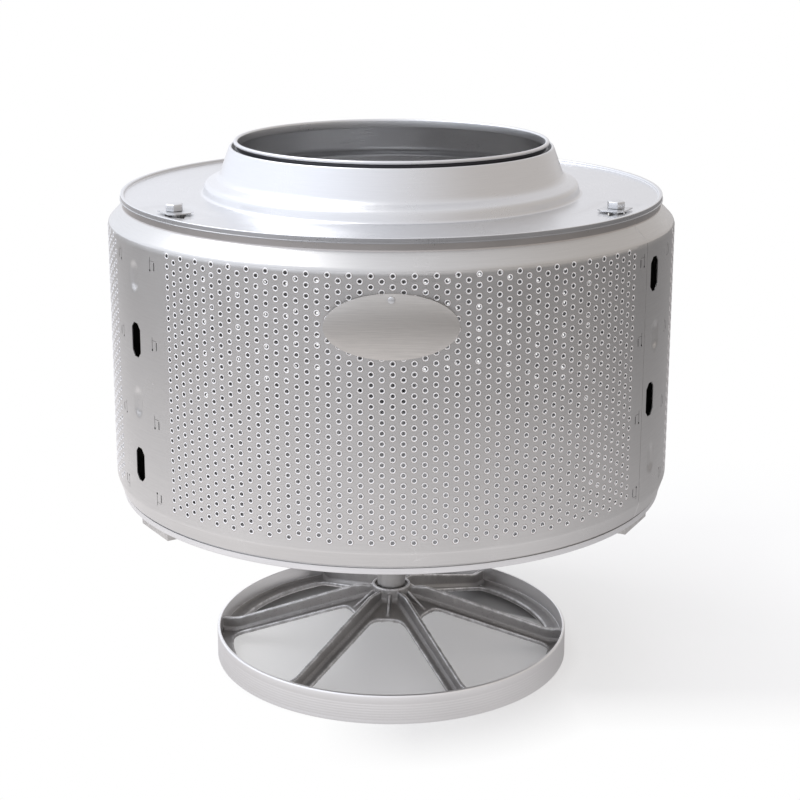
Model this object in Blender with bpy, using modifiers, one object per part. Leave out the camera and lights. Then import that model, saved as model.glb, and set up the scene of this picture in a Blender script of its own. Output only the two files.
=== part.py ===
# Fire pit made from a washing-machine drum that stands, mouth up, on its own drive pulley.
# Metres, +Z up. The origin is on the ground, on the drum's axis, and the front faces -Y.
import math

import bmesh
import bpy
from mathutils import Matrix

# Shared sizes
SHEET = 0.0008  # wall of every pressed sheet
CLEARANCE = 0.0003  # gap kept between pieces that touch
FACETS = 48  # flats round a large turned piece
SMALL_FACETS = 20  # flats round a bolt
SHAFT_FACETS = 32  # flats round the shaft and what is on it
ARC_STEP = 46  # degrees of a rounded corner that one chord takes
OVERSHOOT = 0.004  # how far a cutter runs past what it cuts

# Drum shell
DRUM_RADIUS = 0.240
DRUM_HEIGHT = 0.2583  # from the rear hem's lower edge to the front hem's crest
GROUND_TO_DRUM = 0.163  # clear height under the rear hem
TOP_INSET = 0.0125  # how much narrower the upper neck is than the drum
BOTTOM_INSET = 0.0064  # the same at the lower neck
TOP_NECK_HEIGHT = 0.0100  # hem crest to the foot of the upper neck
TOP_SHOULDER_SLOPE = 45  # degrees from level
BOTTOM_SHOULDER_SLOPE = 72
TOP_SHOULDER_ROUND = 0.006
BOTTOM_SHOULDER_ROUND = 0.010
NECK_ROUND = 0.002
BOTTOM_LEDGE = 0.0025  # step at the foot of the lower shoulder, over the rear hem

# Hems that hold the plates on the shell
HEM_HEIGHT = 0.006
FRONT_HEM_PLAY = 0.0006  # room for the rolled seam outside the upper neck
HEM_CORNER = 0.0012

# Front plate and its collar
CREST_RISE = 0.0026  # hem crest above the flat ring
MOUTH_RADIUS = 0.1301  # inside the neck
CURL_RADIUS = 0.00275  # outside of the rolled rim's section
COLLAR_HEIGHT = 0.0444  # flat ring to the top of the rolled rim
NECK_LENGTH = 0.0037  # short neck under the curl
CONE_TOP_FLARE = 0.0063  # cone's upper edge outside the neck
CONE_FOOT_FLARE = 0.0154  # cone's foot outside the neck
CONE_FOOT_HEIGHT = 0.0142  # cone's foot above the flat ring
STEP_FLARE = 0.0277  # rounded step outside the neck
STEP_HEIGHT = 0.0087  # rounded step above the flat ring
STEP_FOOT = 0.0015  # how much wider the step is at the flat ring

# Rear plate
FLOOR_RISE = 0.0142  # flat ring of the floor above the rear hem's lower edge
FLOOR_CORNER = 0.003
FLOOR_RING_WIDTH = 0.041
FLOOR_CONE_RISE = 0.0165  # middle of the floor above its flat ring
FLOOR_CENTRE_RADIUS = 0.062

# Lifters
LIFTER_COUNT = 3
LIFTER_NAMES = ("left", "right", "rear")
FIRST_LIFTER = -57.8  # degrees from the front, positive to the right
LIFTER_DEPTH = 0.053
LIFTER_BASE_WIDTH = 0.060
LIFTER_NOSE_WIDTH = 0.026
LIFTER_NOSE_ROUND = 0.010
LIFTER_END_GAP = 0.003  # from the ends of the straight wall
NOSE_TO_BOLT = 0.017  # lifter's inner face to the axis of its tie bolt

# Drain slots behind the lifters
SLOT_WIDTH = 0.014
SLOT_HEIGHT = 0.029
SLOT_POINT = 0.0045  # height of a slot's tapered end
SLOT_TIP_WIDTH = 0.004
SLOT_PLACES = 4  # even places for slots up the straight wall; each lifter uses two of them
TOP_SLOT_DROP = 0.0250  # uppermost place's centre under the straight wall's top
BOTTOM_SLOT_RISE = 0.0316  # lowest place's centre above the straight wall's foot
SLOT_ROWS = {"left": (1, 3), "right": (0, 2), "rear": (1, 3)}

# Openings of the three perforated panels: a coarse grid with the open share of the fine holes
PANEL_MIDDLE = 3.1  # degrees, middle of the front panel
PANEL_SPAN = 99.3  # degrees that a panel takes
GRID_COLUMNS = 12
GRID_ROWS = 6  # in every other column; those between them have one fewer, half a step down
GRID_OPENING_RADIUS = 0.0065
GRID_OPENING_SIDES = 6

# Tie bolts and their lock plates
BOLT_RADIUS = 0.004
BOLT_HEAD_FLATS = 0.013
BOLT_HEAD_HEIGHT = 0.0055
BOLT_END_COVER = 0.003  # how far the bolt's end stays above the arm's lower face
LOCK_PLATE_LENGTH = 0.032  # round the drum
LOCK_PLATE_WIDTH = 0.022  # along its radius
LOCK_PLATE_CORNER = 0.004
LOCK_PLATE_THICKNESS = 0.001
PIERCING_BACK = 0.007  # how far the plate's opening reaches behind and inside its bolt
PIERCING_OUTSIDE = 0.010  # how far it reaches outside the bolt
PIERCING_POINT = 0.027  # its pointed end, past the lock plate, toward the drum's front
PIERCING_ROUND = 0.001
POINT_SIDES = {"left": 1, "right": -1, "rear": 1}

# Spider
ARM_END_WIDTH = 0.049
ARM_ROOT_WIDTH = 0.034
ARM_END_LENGTH = 0.040
ARM_BELOW_HEM = 0.008  # arm ends reach this far under the rear hem
ARM_PLATE = 0.0085
ARM_RIB_WIDTH = 0.009
ARM_CORNER = 0.003
ARM_ROOT_HEIGHT = 0.017  # height of the arm's plate at the hub, above the hub's lower face
SPIDER_HUB_RADIUS = 0.034
SPIDER_HUB_TAPER = 0.004
SPIDER_HUB_LENGTH = 0.071
SPIDER_HUB_TOP_GAP = 0.006  # under the middle of the drum's floor

# Shaft, its sleeve and its screw
SHAFT_RADIUS = 0.0125
SPLINE_RADIUS = 0.010
SHAFT_TOP_GAP = 0.002
SCREW_RADIUS = 0.005
SCREW_DEPTH = 0.026
SCREW_HEAD_FLATS = 0.017
SCREW_HEAD_HEIGHT = 0.0064
WASHER_RADIUS = 0.016
WASHER_THICKNESS = 0.0025
SLEEVE_RADIUS = 0.020
SLEEVE_LENGTH = 0.013
EDGE_CHAMFER = 0.001

# Drive pulley
PULLEY_RADIUS = 0.157
RIM_HEIGHT = 0.0255
RIM_WALL = 0.0025
LEDGE_WIDTH = 0.0117
LEDGE_BASE = 0.005
LEDGE_THICKNESS = 0.0043
LEDGE_FILLET = 0.003  # how much higher the ledge is at the rim
HUB_TOP = 0.0604
HUB_RADIUS = 0.0172
HUB_BASE = 0.038
HUB_BASE_RADIUS = 0.023
HUB_RECESS_DEPTH = 0.0035
HUB_RECESS_RADIUS = 0.0145
WEB_BELOW_HUB = 0.0113  # top of the conical web at the hub, under the hub's top
WEB_THICKNESS = 0.0035
SPOKE_COUNT = 6
FIRST_SPOKE = 25.0  # degrees from the front, positive to the right
SPOKE_WIDTH = 0.0173
WINDOW_INNER_RADIUS = 0.0397
WINDOW_INNER_ROUND = 0.012
WINDOW_OUTER_ROUND = 0.009
RIB_WIDTH = 0.0032
RIB_LEVEL_LENGTH = 0.0149  # level stretch of a rib next to the hub
RIB_BELOW_HUB = 0.0025
RIB_OUTER_TOP = 0.0213
RIB_BEND = 0.014  # where a rib turns level before the rim
WEBLET_WIDTH = 0.0016
WEBLET_HEIGHT = 0.0025

# Badge
BADGE_WIDTH = 0.100
BADGE_HEIGHT = 0.050
BADGE_THICKNESS = 0.0015
BADGE_DROP = 0.0384  # badge's middle under the straight wall's top
BADGE_FACETS = 40
RIVET_RADIUS = 0.0015
RIVET_HEAD_RADIUS = 0.00275
RIVET_HEAD_HEIGHT = 0.0012
RIVET_TAIL_RADIUS = 0.0024
RIVET_TAIL_LENGTH = 0.003
RIVET_FROM_EDGE = 0.0045  # rivet's axis under the badge's top edge

# Heights and radii that follow from the sizes above
CREST_TOP = GROUND_TO_DRUM + DRUM_HEIGHT
RING_TOP = CREST_TOP - CREST_RISE
TOP_NECK = DRUM_RADIUS - TOP_INSET
BOTTOM_NECK = DRUM_RADIUS - BOTTOM_INSET
TOP_TURN = math.radians(90 - TOP_SHOULDER_SLOPE)
BOTTOM_TURN = math.radians(90 - BOTTOM_SHOULDER_SLOPE)
NECK_FOOT = CREST_TOP - TOP_NECK_HEIGHT
TOP_CORNER = NECK_FOOT - TOP_INSET / math.tan(TOP_TURN)
WALL_TOP = TOP_CORNER - TOP_SHOULDER_ROUND * math.tan(TOP_TURN / 2)
LEDGE_TOP = GROUND_TO_DRUM + HEM_HEIGHT + 4 * CLEARANCE
BOTTOM_CORNER = LEDGE_TOP + (BOTTOM_INSET - BOTTOM_LEDGE) / math.tan(BOTTOM_TURN)
WALL_BOTTOM = BOTTOM_CORNER + BOTTOM_SHOULDER_ROUND * math.tan(BOTTOM_TURN / 2)
TOP_SLOT = WALL_TOP - TOP_SLOT_DROP
SLOT_PITCH = (TOP_SLOT - WALL_BOTTOM - BOTTOM_SLOT_RISE) / (SLOT_PLACES - 1)
FACET_COSINE = math.cos(math.pi / FACETS)
INNER_FACE = (DRUM_RADIUS - SHEET) * FACET_COSINE
FLOOR_UNDERSIDE = GROUND_TO_DRUM + FLOOR_RISE
REAR_WALL = BOTTOM_NECK - 2 * SHEET - CLEARANCE
FLOOR_RING_INNER = REAR_WALL - FLOOR_RING_WIDTH
FLOOR_CENTRE = FLOOR_UNDERSIDE + FLOOR_CONE_RISE
BOLT_CIRCLE = DRUM_RADIUS - SHEET - LIFTER_DEPTH + NOSE_TO_BOLT
ARM_REACH = REAR_WALL * FACET_COSINE - 2 * CLEARANCE
ARM_BOTTOM = GROUND_TO_DRUM - ARM_BELOW_HEM
ARM_TOP = FLOOR_UNDERSIDE - CLEARANCE
SPIDER_HUB_TOP = FLOOR_CENTRE - SPIDER_HUB_TOP_GAP
SPIDER_HUB_BOTTOM = SPIDER_HUB_TOP - SPIDER_HUB_LENGTH
RIM_INNER = PULLEY_RADIUS - RIM_WALL
LEDGE_INNER = RIM_INNER - LEDGE_WIDTH
LEDGE_UPPER = LEDGE_BASE + LEDGE_THICKNESS
WEB_TOP_AT_HUB = HUB_TOP - WEB_BELOW_HUB
WEB_SLOPE = (WEB_TOP_AT_HUB - LEDGE_UPPER) / (LEDGE_INNER - HUB_RADIUS)
SHOULDER_HEIGHT = HUB_TOP - HUB_RECESS_DEPTH + CLEARANCE
SHAFT_END = HUB_BASE + 4 * CLEARANCE
LOCK_PLATE_BOTTOM = RING_TOP + CLEARANCE
HEAD_BOTTOM = LOCK_PLATE_BOTTOM + LOCK_PLATE_THICKNESS + CLEARANCE
BADGE_MIDDLE = WALL_TOP - BADGE_DROP
BADGE_BACK = DRUM_RADIUS + CLEARANCE
RIVET_HEIGHT = BADGE_MIDDLE + BADGE_HEIGHT / 2 - RIVET_FROM_EDGE


def clear_scene():
    for old in list(bpy.data.objects):
        bpy.data.objects.remove(old, do_unlink=True)


def new_collection(name, parent=None):
    made = bpy.data.collections.new(name)
    if parent is not None:
        parent.children.link(made)
    return made


def new_material(name, colour, roughness, metallic):
    made = bpy.data.materials.new(name)
    made.use_nodes = True
    shader = made.node_tree.nodes["Principled BSDF"]
    shader.inputs["Base Color"].default_value = (*colour, 1.0)
    shader.inputs["Roughness"].default_value = roughness
    shader.inputs["Metallic"].default_value = metallic
    return made


def direction(azimuth):
    # Turns the drum's front, -Y, to an azimuth in degrees, positive to the right
    return Matrix.Rotation(math.radians(azimuth), 4, "Z")


def lifter_azimuth(index):
    return FIRST_LIFTER + index * 360.0 / LIFTER_COUNT


def rounded_path(corners, closed=False):
    # Rounds (x, y, fillet) corners; a fillet is held within the two edges beside it
    count = len(corners)
    path = []
    for index, (x, y, fillet) in enumerate(corners):
        inner = closed or 0 < index < count - 1
        if fillet <= 0 or not inner:
            path.append((x, y))
            continue
        before, after = corners[index - 1], corners[(index + 1) % count]
        back = (before[0] - x, before[1] - y)
        ahead = (after[0] - x, after[1] - y)
        back_length, ahead_length = math.hypot(*back), math.hypot(*ahead)
        back = (back[0] / back_length, back[1] / back_length)
        ahead = (ahead[0] / ahead_length, ahead[1] / ahead_length)
        half = math.acos(max(-1.0, min(1.0, back[0] * ahead[0] + back[1] * ahead[1]))) / 2
        reach = min(fillet / math.tan(half), 0.48 * back_length, 0.48 * ahead_length)
        radius = reach * math.tan(half)
        middle = (back[0] + ahead[0], back[1] + ahead[1])
        to_centre = radius / math.sin(half) / math.hypot(*middle)
        centre = (x + middle[0] * to_centre, y + middle[1] * to_centre)
        start = math.atan2(y + back[1] * reach - centre[1], x + back[0] * reach - centre[0])
        end = math.atan2(y + ahead[1] * reach - centre[1], x + ahead[0] * reach - centre[0])
        sweep = (end - start + math.pi) % (2 * math.pi) - math.pi
        steps = max(1, math.ceil(abs(math.degrees(sweep)) / ARC_STEP))
        for step in range(steps + 1):
            angle = start + sweep * step / steps
            across, up = radius * math.cos(angle), radius * math.sin(angle)
            path.append((centre[0] + across, centre[1] + up))
    return path


def arc(centre, radius, start, end):
    steps = max(1, math.ceil(abs(end - start) / ARC_STEP))
    angles = [math.radians(start + (end - start) * step / steps) for step in range(steps + 1)]
    return [(centre[0] + radius * math.cos(a), centre[1] + radius * math.sin(a)) for a in angles]


def add_object(name, mesh, collection, material=None):
    made = bpy.data.objects.new(name, mesh)
    collection.objects.link(made)
    if material is not None:
        mesh.materials.append(material)
    if collection is not PARTS:
        made.hide_render = True
        made.display_type = "WIRE"
    return made


def smooth(made, angle=35):
    made.data.shade_smooth()
    made.data.set_sharp_from_angle(angle=math.radians(angle))


def turn_profile(name, path, collection, material=None, closed=False, facets=FACETS):
    # Turns a (radius, height) path round Z; the path runs down the piece's outer side
    mesh = bpy.data.meshes.new(name)
    edges = [(i, i + 1) for i in range(len(path) - 1)]
    if closed:
        edges.append((len(path) - 1, 0))
    mesh.from_pydata([(r, 0, z) for r, z in path], edges, [])
    made = add_object(name, mesh, collection, material)
    screw = made.modifiers.new("turn", "SCREW")
    screw.axis = "Z"
    screw.angle = math.tau
    screw.steps = screw.render_steps = facets
    screw.use_merge_vertices = True
    screw.merge_threshold = 0.00001
    screw.use_smooth_shade = True
    return made


def thicken(made, wall=SHEET, offset=-1.0):
    solidify = made.modifiers.new("wall", "SOLIDIFY")
    solidify.thickness = wall
    solidify.offset = offset
    solidify.use_even_offset = True
    return made


def boolean(made, operation, other):
    # The other operand is one object, or a collection of them
    step = made.modifiers.new(operation.lower(), "BOOLEAN")
    step.operation = operation
    step.solver = "EXACT"
    if isinstance(other, bpy.types.Collection):
        step.operand_type = "COLLECTION"
        step.collection = other
    else:
        step.object = other
    return step


def slab(name, outline, low, high, collection, material=None):
    # A flat outline of (x, y) points, filled and extruded between two heights
    curve = bpy.data.curves.new(name + "_outline", "CURVE")
    curve.dimensions = "2D"
    curve.fill_mode = "BOTH"
    curve.extrude = (high - low) / 2
    spline = curve.splines.new("POLY")
    spline.points.add(len(outline) - 1)
    for point, (x, y) in zip(spline.points, outline):
        point.co = (x, y, 0, 1)
    spline.use_cyclic_u = True
    drawn = bpy.data.objects.new(name + "_outline", curve)
    bpy.context.scene.collection.objects.link(drawn)
    drawn.location.z = (low + high) / 2
    bpy.context.view_layer.update()
    shaped = drawn.evaluated_get(bpy.context.evaluated_depsgraph_get())
    mesh = bpy.data.meshes.new_from_object(shaped)
    mesh.transform(drawn.matrix_world)
    bpy.data.objects.remove(drawn, do_unlink=True)
    build = bmesh.new()
    build.from_mesh(mesh)
    bmesh.ops.remove_doubles(build, verts=build.verts, dist=0.00001)
    bmesh.ops.recalc_face_normals(build, faces=build.faces)
    build.to_mesh(mesh)
    build.free()
    mesh.name = name
    return add_object(name, mesh, collection, material)


def upright_slab(name, outline, width, azimuth, collection):
    # An outline of (radius, height) points, stood up in the plane of an azimuth
    made = slab(name, outline, -width / 2, width / 2, collection)
    stand = Matrix.Rotation(math.radians(90), 4, "X")
    face_front = Matrix.Rotation(math.radians(-90), 4, "Z")
    made.data.transform(direction(azimuth) @ face_front @ stand)
    return made


def cylinder(name, radius, low, high, collection, facets=SMALL_FACETS, place=None):
    mesh = bpy.data.meshes.new(name)
    build = bmesh.new()
    bmesh.ops.create_cone(
        build, cap_ends=True, segments=facets, radius1=radius, radius2=radius, depth=high - low
    )
    bmesh.ops.translate(build, verts=build.verts, vec=(0, 0, (low + high) / 2))
    build.to_mesh(mesh)
    build.free()
    made = add_object(name, mesh, collection)
    made.matrix_world = place or Matrix.Identity(4)
    return made


def on_drum(azimuth, radius, height=0.0):
    return direction(azimuth) @ Matrix.Translation((0, -radius, height))


def make_shell(steel):
    path = rounded_path(
        [
            (TOP_NECK, CREST_TOP - SHEET - CLEARANCE, 0),
            (TOP_NECK, NECK_FOOT, NECK_ROUND),
            (DRUM_RADIUS, TOP_CORNER, TOP_SHOULDER_ROUND),
            (DRUM_RADIUS, BOTTOM_CORNER, BOTTOM_SHOULDER_ROUND),
            (BOTTOM_NECK + BOTTOM_LEDGE, LEDGE_TOP, 0),
            (BOTTOM_NECK, LEDGE_TOP - SHEET, 0),
            (BOTTOM_NECK, GROUND_TO_DRUM + SHEET + CLEARANCE, 0),
        ]
    )
    shell = thicken(turn_profile("drum_shell", path, PARTS, steel))
    openings = new_collection("shell_openings", GUIDES)
    half, tip = SLOT_WIDTH / 2, SLOT_TIP_WIDTH / 2
    long_side, end = SLOT_HEIGHT / 2 - SLOT_POINT, SLOT_HEIGHT / 2
    quarter = [(half, long_side), (tip, end)]
    outline = quarter + [(-x, y) for x, y in reversed(quarter)]
    outline += [(-x, -y) for x, y in quarter] + [(x, -y) for x, y in reversed(quarter)]
    stand = Matrix.Rotation(math.radians(90), 4, "X")
    for index, side in enumerate(LIFTER_NAMES):
        for row in SLOT_ROWS[side]:
            height = TOP_SLOT - row * SLOT_PITCH
            cutter = slab(f"slot_{side}_{row}", outline, -OVERSHOOT, OVERSHOOT, openings)
            cutter.data.transform(on_drum(lifter_azimuth(index), DRUM_RADIUS, height) @ stand)
    cylinder(
        "rivet_hole",
        RIVET_RADIUS + CLEARANCE,
        -OVERSHOOT,
        OVERSHOOT,
        openings,
        place=on_drum(0, DRUM_RADIUS, RIVET_HEIGHT) @ stand,
    )
    pitch = (WALL_TOP - WALL_BOTTOM) / GRID_ROWS
    for panel in range(LIFTER_COUNT):
        middle = PANEL_MIDDLE + panel * 360.0 / LIFTER_COUNT
        for column in range(GRID_COLUMNS):
            azimuth = middle + (column - (GRID_COLUMNS - 1) / 2) * PANEL_SPAN / GRID_COLUMNS
            rows = GRID_ROWS - column % 2
            for row in range(rows):
                height = (WALL_TOP + WALL_BOTTOM) / 2 + (row - (rows - 1) / 2) * pitch
                cylinder(
                    f"grid_{panel}_{column}_{row}",
                    GRID_OPENING_RADIUS,
                    -OVERSHOOT,
                    OVERSHOOT,
                    openings,
                    facets=GRID_OPENING_SIDES,
                    place=on_drum(azimuth, DRUM_RADIUS, height) @ stand,
                )
    boolean(shell, "DIFFERENCE", openings)


def make_front_plate(steel):
    neck = MOUTH_RADIUS + SHEET
    curl = CURL_RADIUS - SHEET
    curl_centre = (neck + curl, RING_TOP + COLLAR_HEIGHT - CURL_RADIUS)
    hem = TOP_NECK + FRONT_HEM_PLAY + SHEET
    channel = TOP_NECK - 2 * SHEET - CLEARANCE
    corners = [
        (neck, curl_centre[1], 0),
        (neck, curl_centre[1] - NECK_LENGTH, 0),
        (neck + CONE_TOP_FLARE, curl_centre[1] - NECK_LENGTH, 0.004),
        (neck + CONE_FOOT_FLARE, RING_TOP + CONE_FOOT_HEIGHT, 0.010),
        (neck + STEP_FLARE, RING_TOP + STEP_HEIGHT, 0.006),
        (neck + STEP_FLARE + STEP_FOOT, RING_TOP, 0.002),
        (channel, RING_TOP, 0),
        (channel, CREST_TOP, HEM_CORNER),
        (hem, CREST_TOP, HEM_CORNER),
        (hem, CREST_TOP - HEM_HEIGHT, 0),
    ]
    path = arc(curl_centre, curl, -35, 180)[:-1] + rounded_path(corners)
    plate = thicken(turn_profile("front_plate", path, PARTS, steel))
    piercings = new_collection("front_piercings", GUIDES)
    for index, side in enumerate(LIFTER_NAMES):
        front = POINT_SIDES[side]
        corners = [
            (-PIERCING_BACK, PIERCING_BACK),
            (PIERCING_BACK, PIERCING_BACK),
            (PIERCING_POINT, -PIERCING_OUTSIDE),
            (-PIERCING_BACK, -PIERCING_OUTSIDE),
        ]
        outline = rounded_path([(front * x, y, PIERCING_ROUND) for x, y in corners], closed=True)
        cutter = slab(f"piercing_{side}", outline, -OVERSHOOT, OVERSHOOT, piercings)
        cutter.data.transform(on_drum(lifter_azimuth(index), BOLT_CIRCLE, RING_TOP))
    boolean(plate, "DIFFERENCE", piercings)


def make_rear_plate(steel):
    hem = BOTTOM_NECK + CLEARANCE + SHEET
    corners = [
        (hem, GROUND_TO_DRUM + HEM_HEIGHT, 0),
        (hem, GROUND_TO_DRUM, HEM_CORNER),
        (REAR_WALL, GROUND_TO_DRUM, HEM_CORNER),
        (REAR_WALL, FLOOR_UNDERSIDE, FLOOR_CORNER),
        (FLOOR_RING_INNER, FLOOR_UNDERSIDE, 0.008),
        (FLOOR_CENTRE_RADIUS, FLOOR_CENTRE, 0.010),
        (0, FLOOR_CENTRE, 0),
    ]
    plate = thicken(turn_profile("rear_plate", rounded_path(corners), PARTS, steel))
    holes = new_collection("rear_holes", GUIDES)
    for index, side in enumerate(LIFTER_NAMES):
        cylinder(
            f"rear_hole_{side}",
            BOLT_RADIUS + CLEARANCE,
            FLOOR_UNDERSIDE - OVERSHOOT,
            FLOOR_UNDERSIDE + OVERSHOOT,
            holes,
            place=on_drum(lifter_azimuth(index), BOLT_CIRCLE),
        )
    boolean(plate, "DIFFERENCE", holes)


def make_lifter(index, side, steel):
    # The paddle's section, x along the shell and y outward along the radius
    half = LIFTER_BASE_WIDTH / 2
    nose = DRUM_RADIUS - SHEET - LIFTER_DEPTH
    seat = math.sqrt((INNER_FACE - CLEARANCE) ** 2 - half**2)
    flank = math.atan2(half - LIFTER_NOSE_WIDTH / 2, seat - nose)
    base = seat - SHEET * math.sin(flank)
    section = rounded_path(
        [
            (-half, base, 0),
            (-LIFTER_NOSE_WIDTH / 2, nose, LIFTER_NOSE_ROUND),
            (LIFTER_NOSE_WIDTH / 2, nose, LIFTER_NOSE_ROUND),
            (half, base, 0),
        ]
    )
    low, high = WALL_BOTTOM + LIFTER_END_GAP, WALL_TOP - LIFTER_END_GAP
    mesh = bpy.data.meshes.new("lifter_" + side)
    build = bmesh.new()
    row = [build.verts.new((x, -y, low)) for x, y in section]
    edges = [build.edges.new(pair) for pair in zip(row, row[1:])]
    raised = bmesh.ops.extrude_edge_only(build, edges=edges)["geom"]
    tops = [item for item in raised if isinstance(item, bmesh.types.BMVert)]
    bmesh.ops.translate(build, verts=tops, vec=(0, 0, high - low))
    build.normal_update()
    inward = min(build.faces, key=lambda face: abs(face.calc_center_median().x))
    if inward.normal.y < 0:
        bmesh.ops.reverse_faces(build, faces=build.faces)
    build.to_mesh(mesh)
    build.free()
    lifter = add_object("lifter_" + side, mesh, PARTS, steel)
    lifter.matrix_world = direction(lifter_azimuth(index))
    thicken(lifter)
    smooth(lifter)


def make_spider(cast_metal):
    top, bottom = SPIDER_HUB_TOP, SPIDER_HUB_BOTTOM
    bore = SHAFT_RADIUS + CLEARANCE
    hub_path = [
        (bore, top),
        (SPIDER_HUB_RADIUS, top),
        (SPIDER_HUB_RADIUS - SPIDER_HUB_TAPER, bottom),
        (bore, bottom),
    ]
    spider = turn_profile("spider", hub_path, PARTS, cast_metal, closed=True, facets=SHAFT_FACETS)
    arms = new_collection("spider_arms", GUIDES)
    holes = new_collection("spider_holes", GUIDES)
    root = SPIDER_HUB_RADIUS - 2 * SPIDER_HUB_TAPER
    end_start = ARM_REACH - ARM_END_LENGTH
    plate_top = ARM_BOTTOM + ARM_PLATE
    # The end is bevelled to clear the rounded corner of the floor, also at the arm's two sides
    bevel = FLOOR_CORNER + ARM_REACH - math.sqrt(ARM_REACH**2 - (ARM_END_WIDTH / 2) ** 2)
    side_view = rounded_path(
        [
            (root, bottom + EDGE_CHAMFER, 0),
            (end_start, ARM_BOTTOM, 0.02),
            (ARM_REACH + OVERSHOOT, ARM_BOTTOM, 0),
            (ARM_REACH + OVERSHOOT, ARM_TOP - bevel - OVERSHOOT, 0),
            (ARM_REACH - bevel, ARM_TOP, 0),
            (end_start + ARM_PLATE, ARM_TOP, ARM_CORNER),
            (end_start, plate_top, ARM_CORNER),
            (root, bottom + ARM_ROOT_HEIGHT, 0),
        ],
        closed=True,
    )
    rib_view = [
        (root, bottom + ARM_ROOT_HEIGHT / 2),
        (end_start + ARM_PLATE, ARM_BOTTOM + ARM_PLATE / 2),
        (end_start + ARM_PLATE, ARM_TOP - EDGE_CHAMFER),
        (root, top - EDGE_CHAMFER - SPIDER_HUB_TAPER),
    ]
    rim_angle = math.degrees(math.asin(ARM_END_WIDTH / 2 / ARM_REACH))
    outer = [(x, y) for y, x in arc((0, 0), ARM_REACH, -rim_angle, rim_angle)]
    plan = [(ARM_END_WIDTH / 2, end_start), (ARM_ROOT_WIDTH / 2, root * 3), (ARM_ROOT_WIDTH / 2, root)]
    plan = outer + plan + [(-x, y) for x, y in reversed(plan)]
    for index, side in enumerate(LIFTER_NAMES):
        azimuth = lifter_azimuth(index)
        arm = upright_slab(f"arm_{side}", side_view, ARM_END_WIDTH + 2 * OVERSHOOT, azimuth, arms)
        outline = slab(
            f"arm_plan_{side}",
            [(x, -y) for x, y in plan],
            bottom - OVERSHOOT,
            ARM_TOP + OVERSHOOT,
            new_collection(f"arm_plan_{side}", GUIDES),
        )
        outline.data.transform(direction(azimuth))
        boolean(arm, "INTERSECT", outline)
        upright_slab(f"arm_rib_{side}", rib_view, ARM_RIB_WIDTH, azimuth, arms)
        cylinder(
            f"arm_hole_{side}",
            BOLT_RADIUS + CLEARANCE,
            ARM_BOTTOM - OVERSHOOT,
            ARM_TOP + OVERSHOOT,
            holes,
            place=on_drum(azimuth, BOLT_CIRCLE),
        )
    boolean(spider, "UNION", arms)
    boolean(spider, "DIFFERENCE", holes)


def make_shaft(steel, bronze, bolt_steel):
    top = SPIDER_HUB_TOP - SHAFT_TOP_GAP
    hole = SCREW_RADIUS + CLEARANCE
    path = [
        (0, top),
        (SHAFT_RADIUS - EDGE_CHAMFER, top),
        (SHAFT_RADIUS, top - EDGE_CHAMFER),
        (SHAFT_RADIUS, SHOULDER_HEIGHT),
        (SPLINE_RADIUS, SHOULDER_HEIGHT),
        (SPLINE_RADIUS, SHAFT_END + EDGE_CHAMFER),
        (SPLINE_RADIUS - EDGE_CHAMFER, SHAFT_END),
        (hole, SHAFT_END),
        (hole, SHAFT_END + SCREW_DEPTH),
        (0, SHAFT_END + SCREW_DEPTH),
    ]
    turn_profile("drum_shaft", path, PARTS, steel, facets=SHAFT_FACETS)

    sleeve_top = SPIDER_HUB_BOTTOM - CLEARANCE
    sleeve_bore = SHAFT_RADIUS + CLEARANCE
    sleeve = [
        (sleeve_bore, sleeve_top),
        (SLEEVE_RADIUS, sleeve_top),
        (SLEEVE_RADIUS, sleeve_top - SLEEVE_LENGTH + EDGE_CHAMFER),
        (SLEEVE_RADIUS - EDGE_CHAMFER, sleeve_top - SLEEVE_LENGTH),
        (sleeve_bore, sleeve_top - SLEEVE_LENGTH),
    ]
    turn_profile("seal_sleeve", sleeve, PARTS, bronze, closed=True, facets=SHAFT_FACETS)

    washer_top = HUB_BASE - CLEARANCE
    washer_bottom = washer_top - WASHER_THICKNESS
    washer = [(hole, washer_top), (WASHER_RADIUS, washer_top)]
    washer += [(WASHER_RADIUS, washer_bottom), (hole, washer_bottom)]
    turn_profile("pulley_washer", washer, PARTS, bolt_steel, closed=True, facets=SHAFT_FACETS)

    head_top = washer_bottom - CLEARANCE
    tip, root = SHAFT_END + SCREW_DEPTH - EDGE_CHAMFER, head_top - EDGE_CHAMFER
    shank = [(0, tip), (SCREW_RADIUS, tip), (SCREW_RADIUS, root), (0, root)]
    screw = turn_profile("pulley_bolt", shank, PARTS, bolt_steel, facets=SMALL_FACETS)
    head_bottom = head_top - SCREW_HEAD_HEIGHT
    across = SCREW_HEAD_FLATS / math.sqrt(3)
    head = cylinder("pulley_bolt_head", across, head_bottom, head_top, GUIDES, facets=6)
    boolean(screw, "UNION", head)


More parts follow.
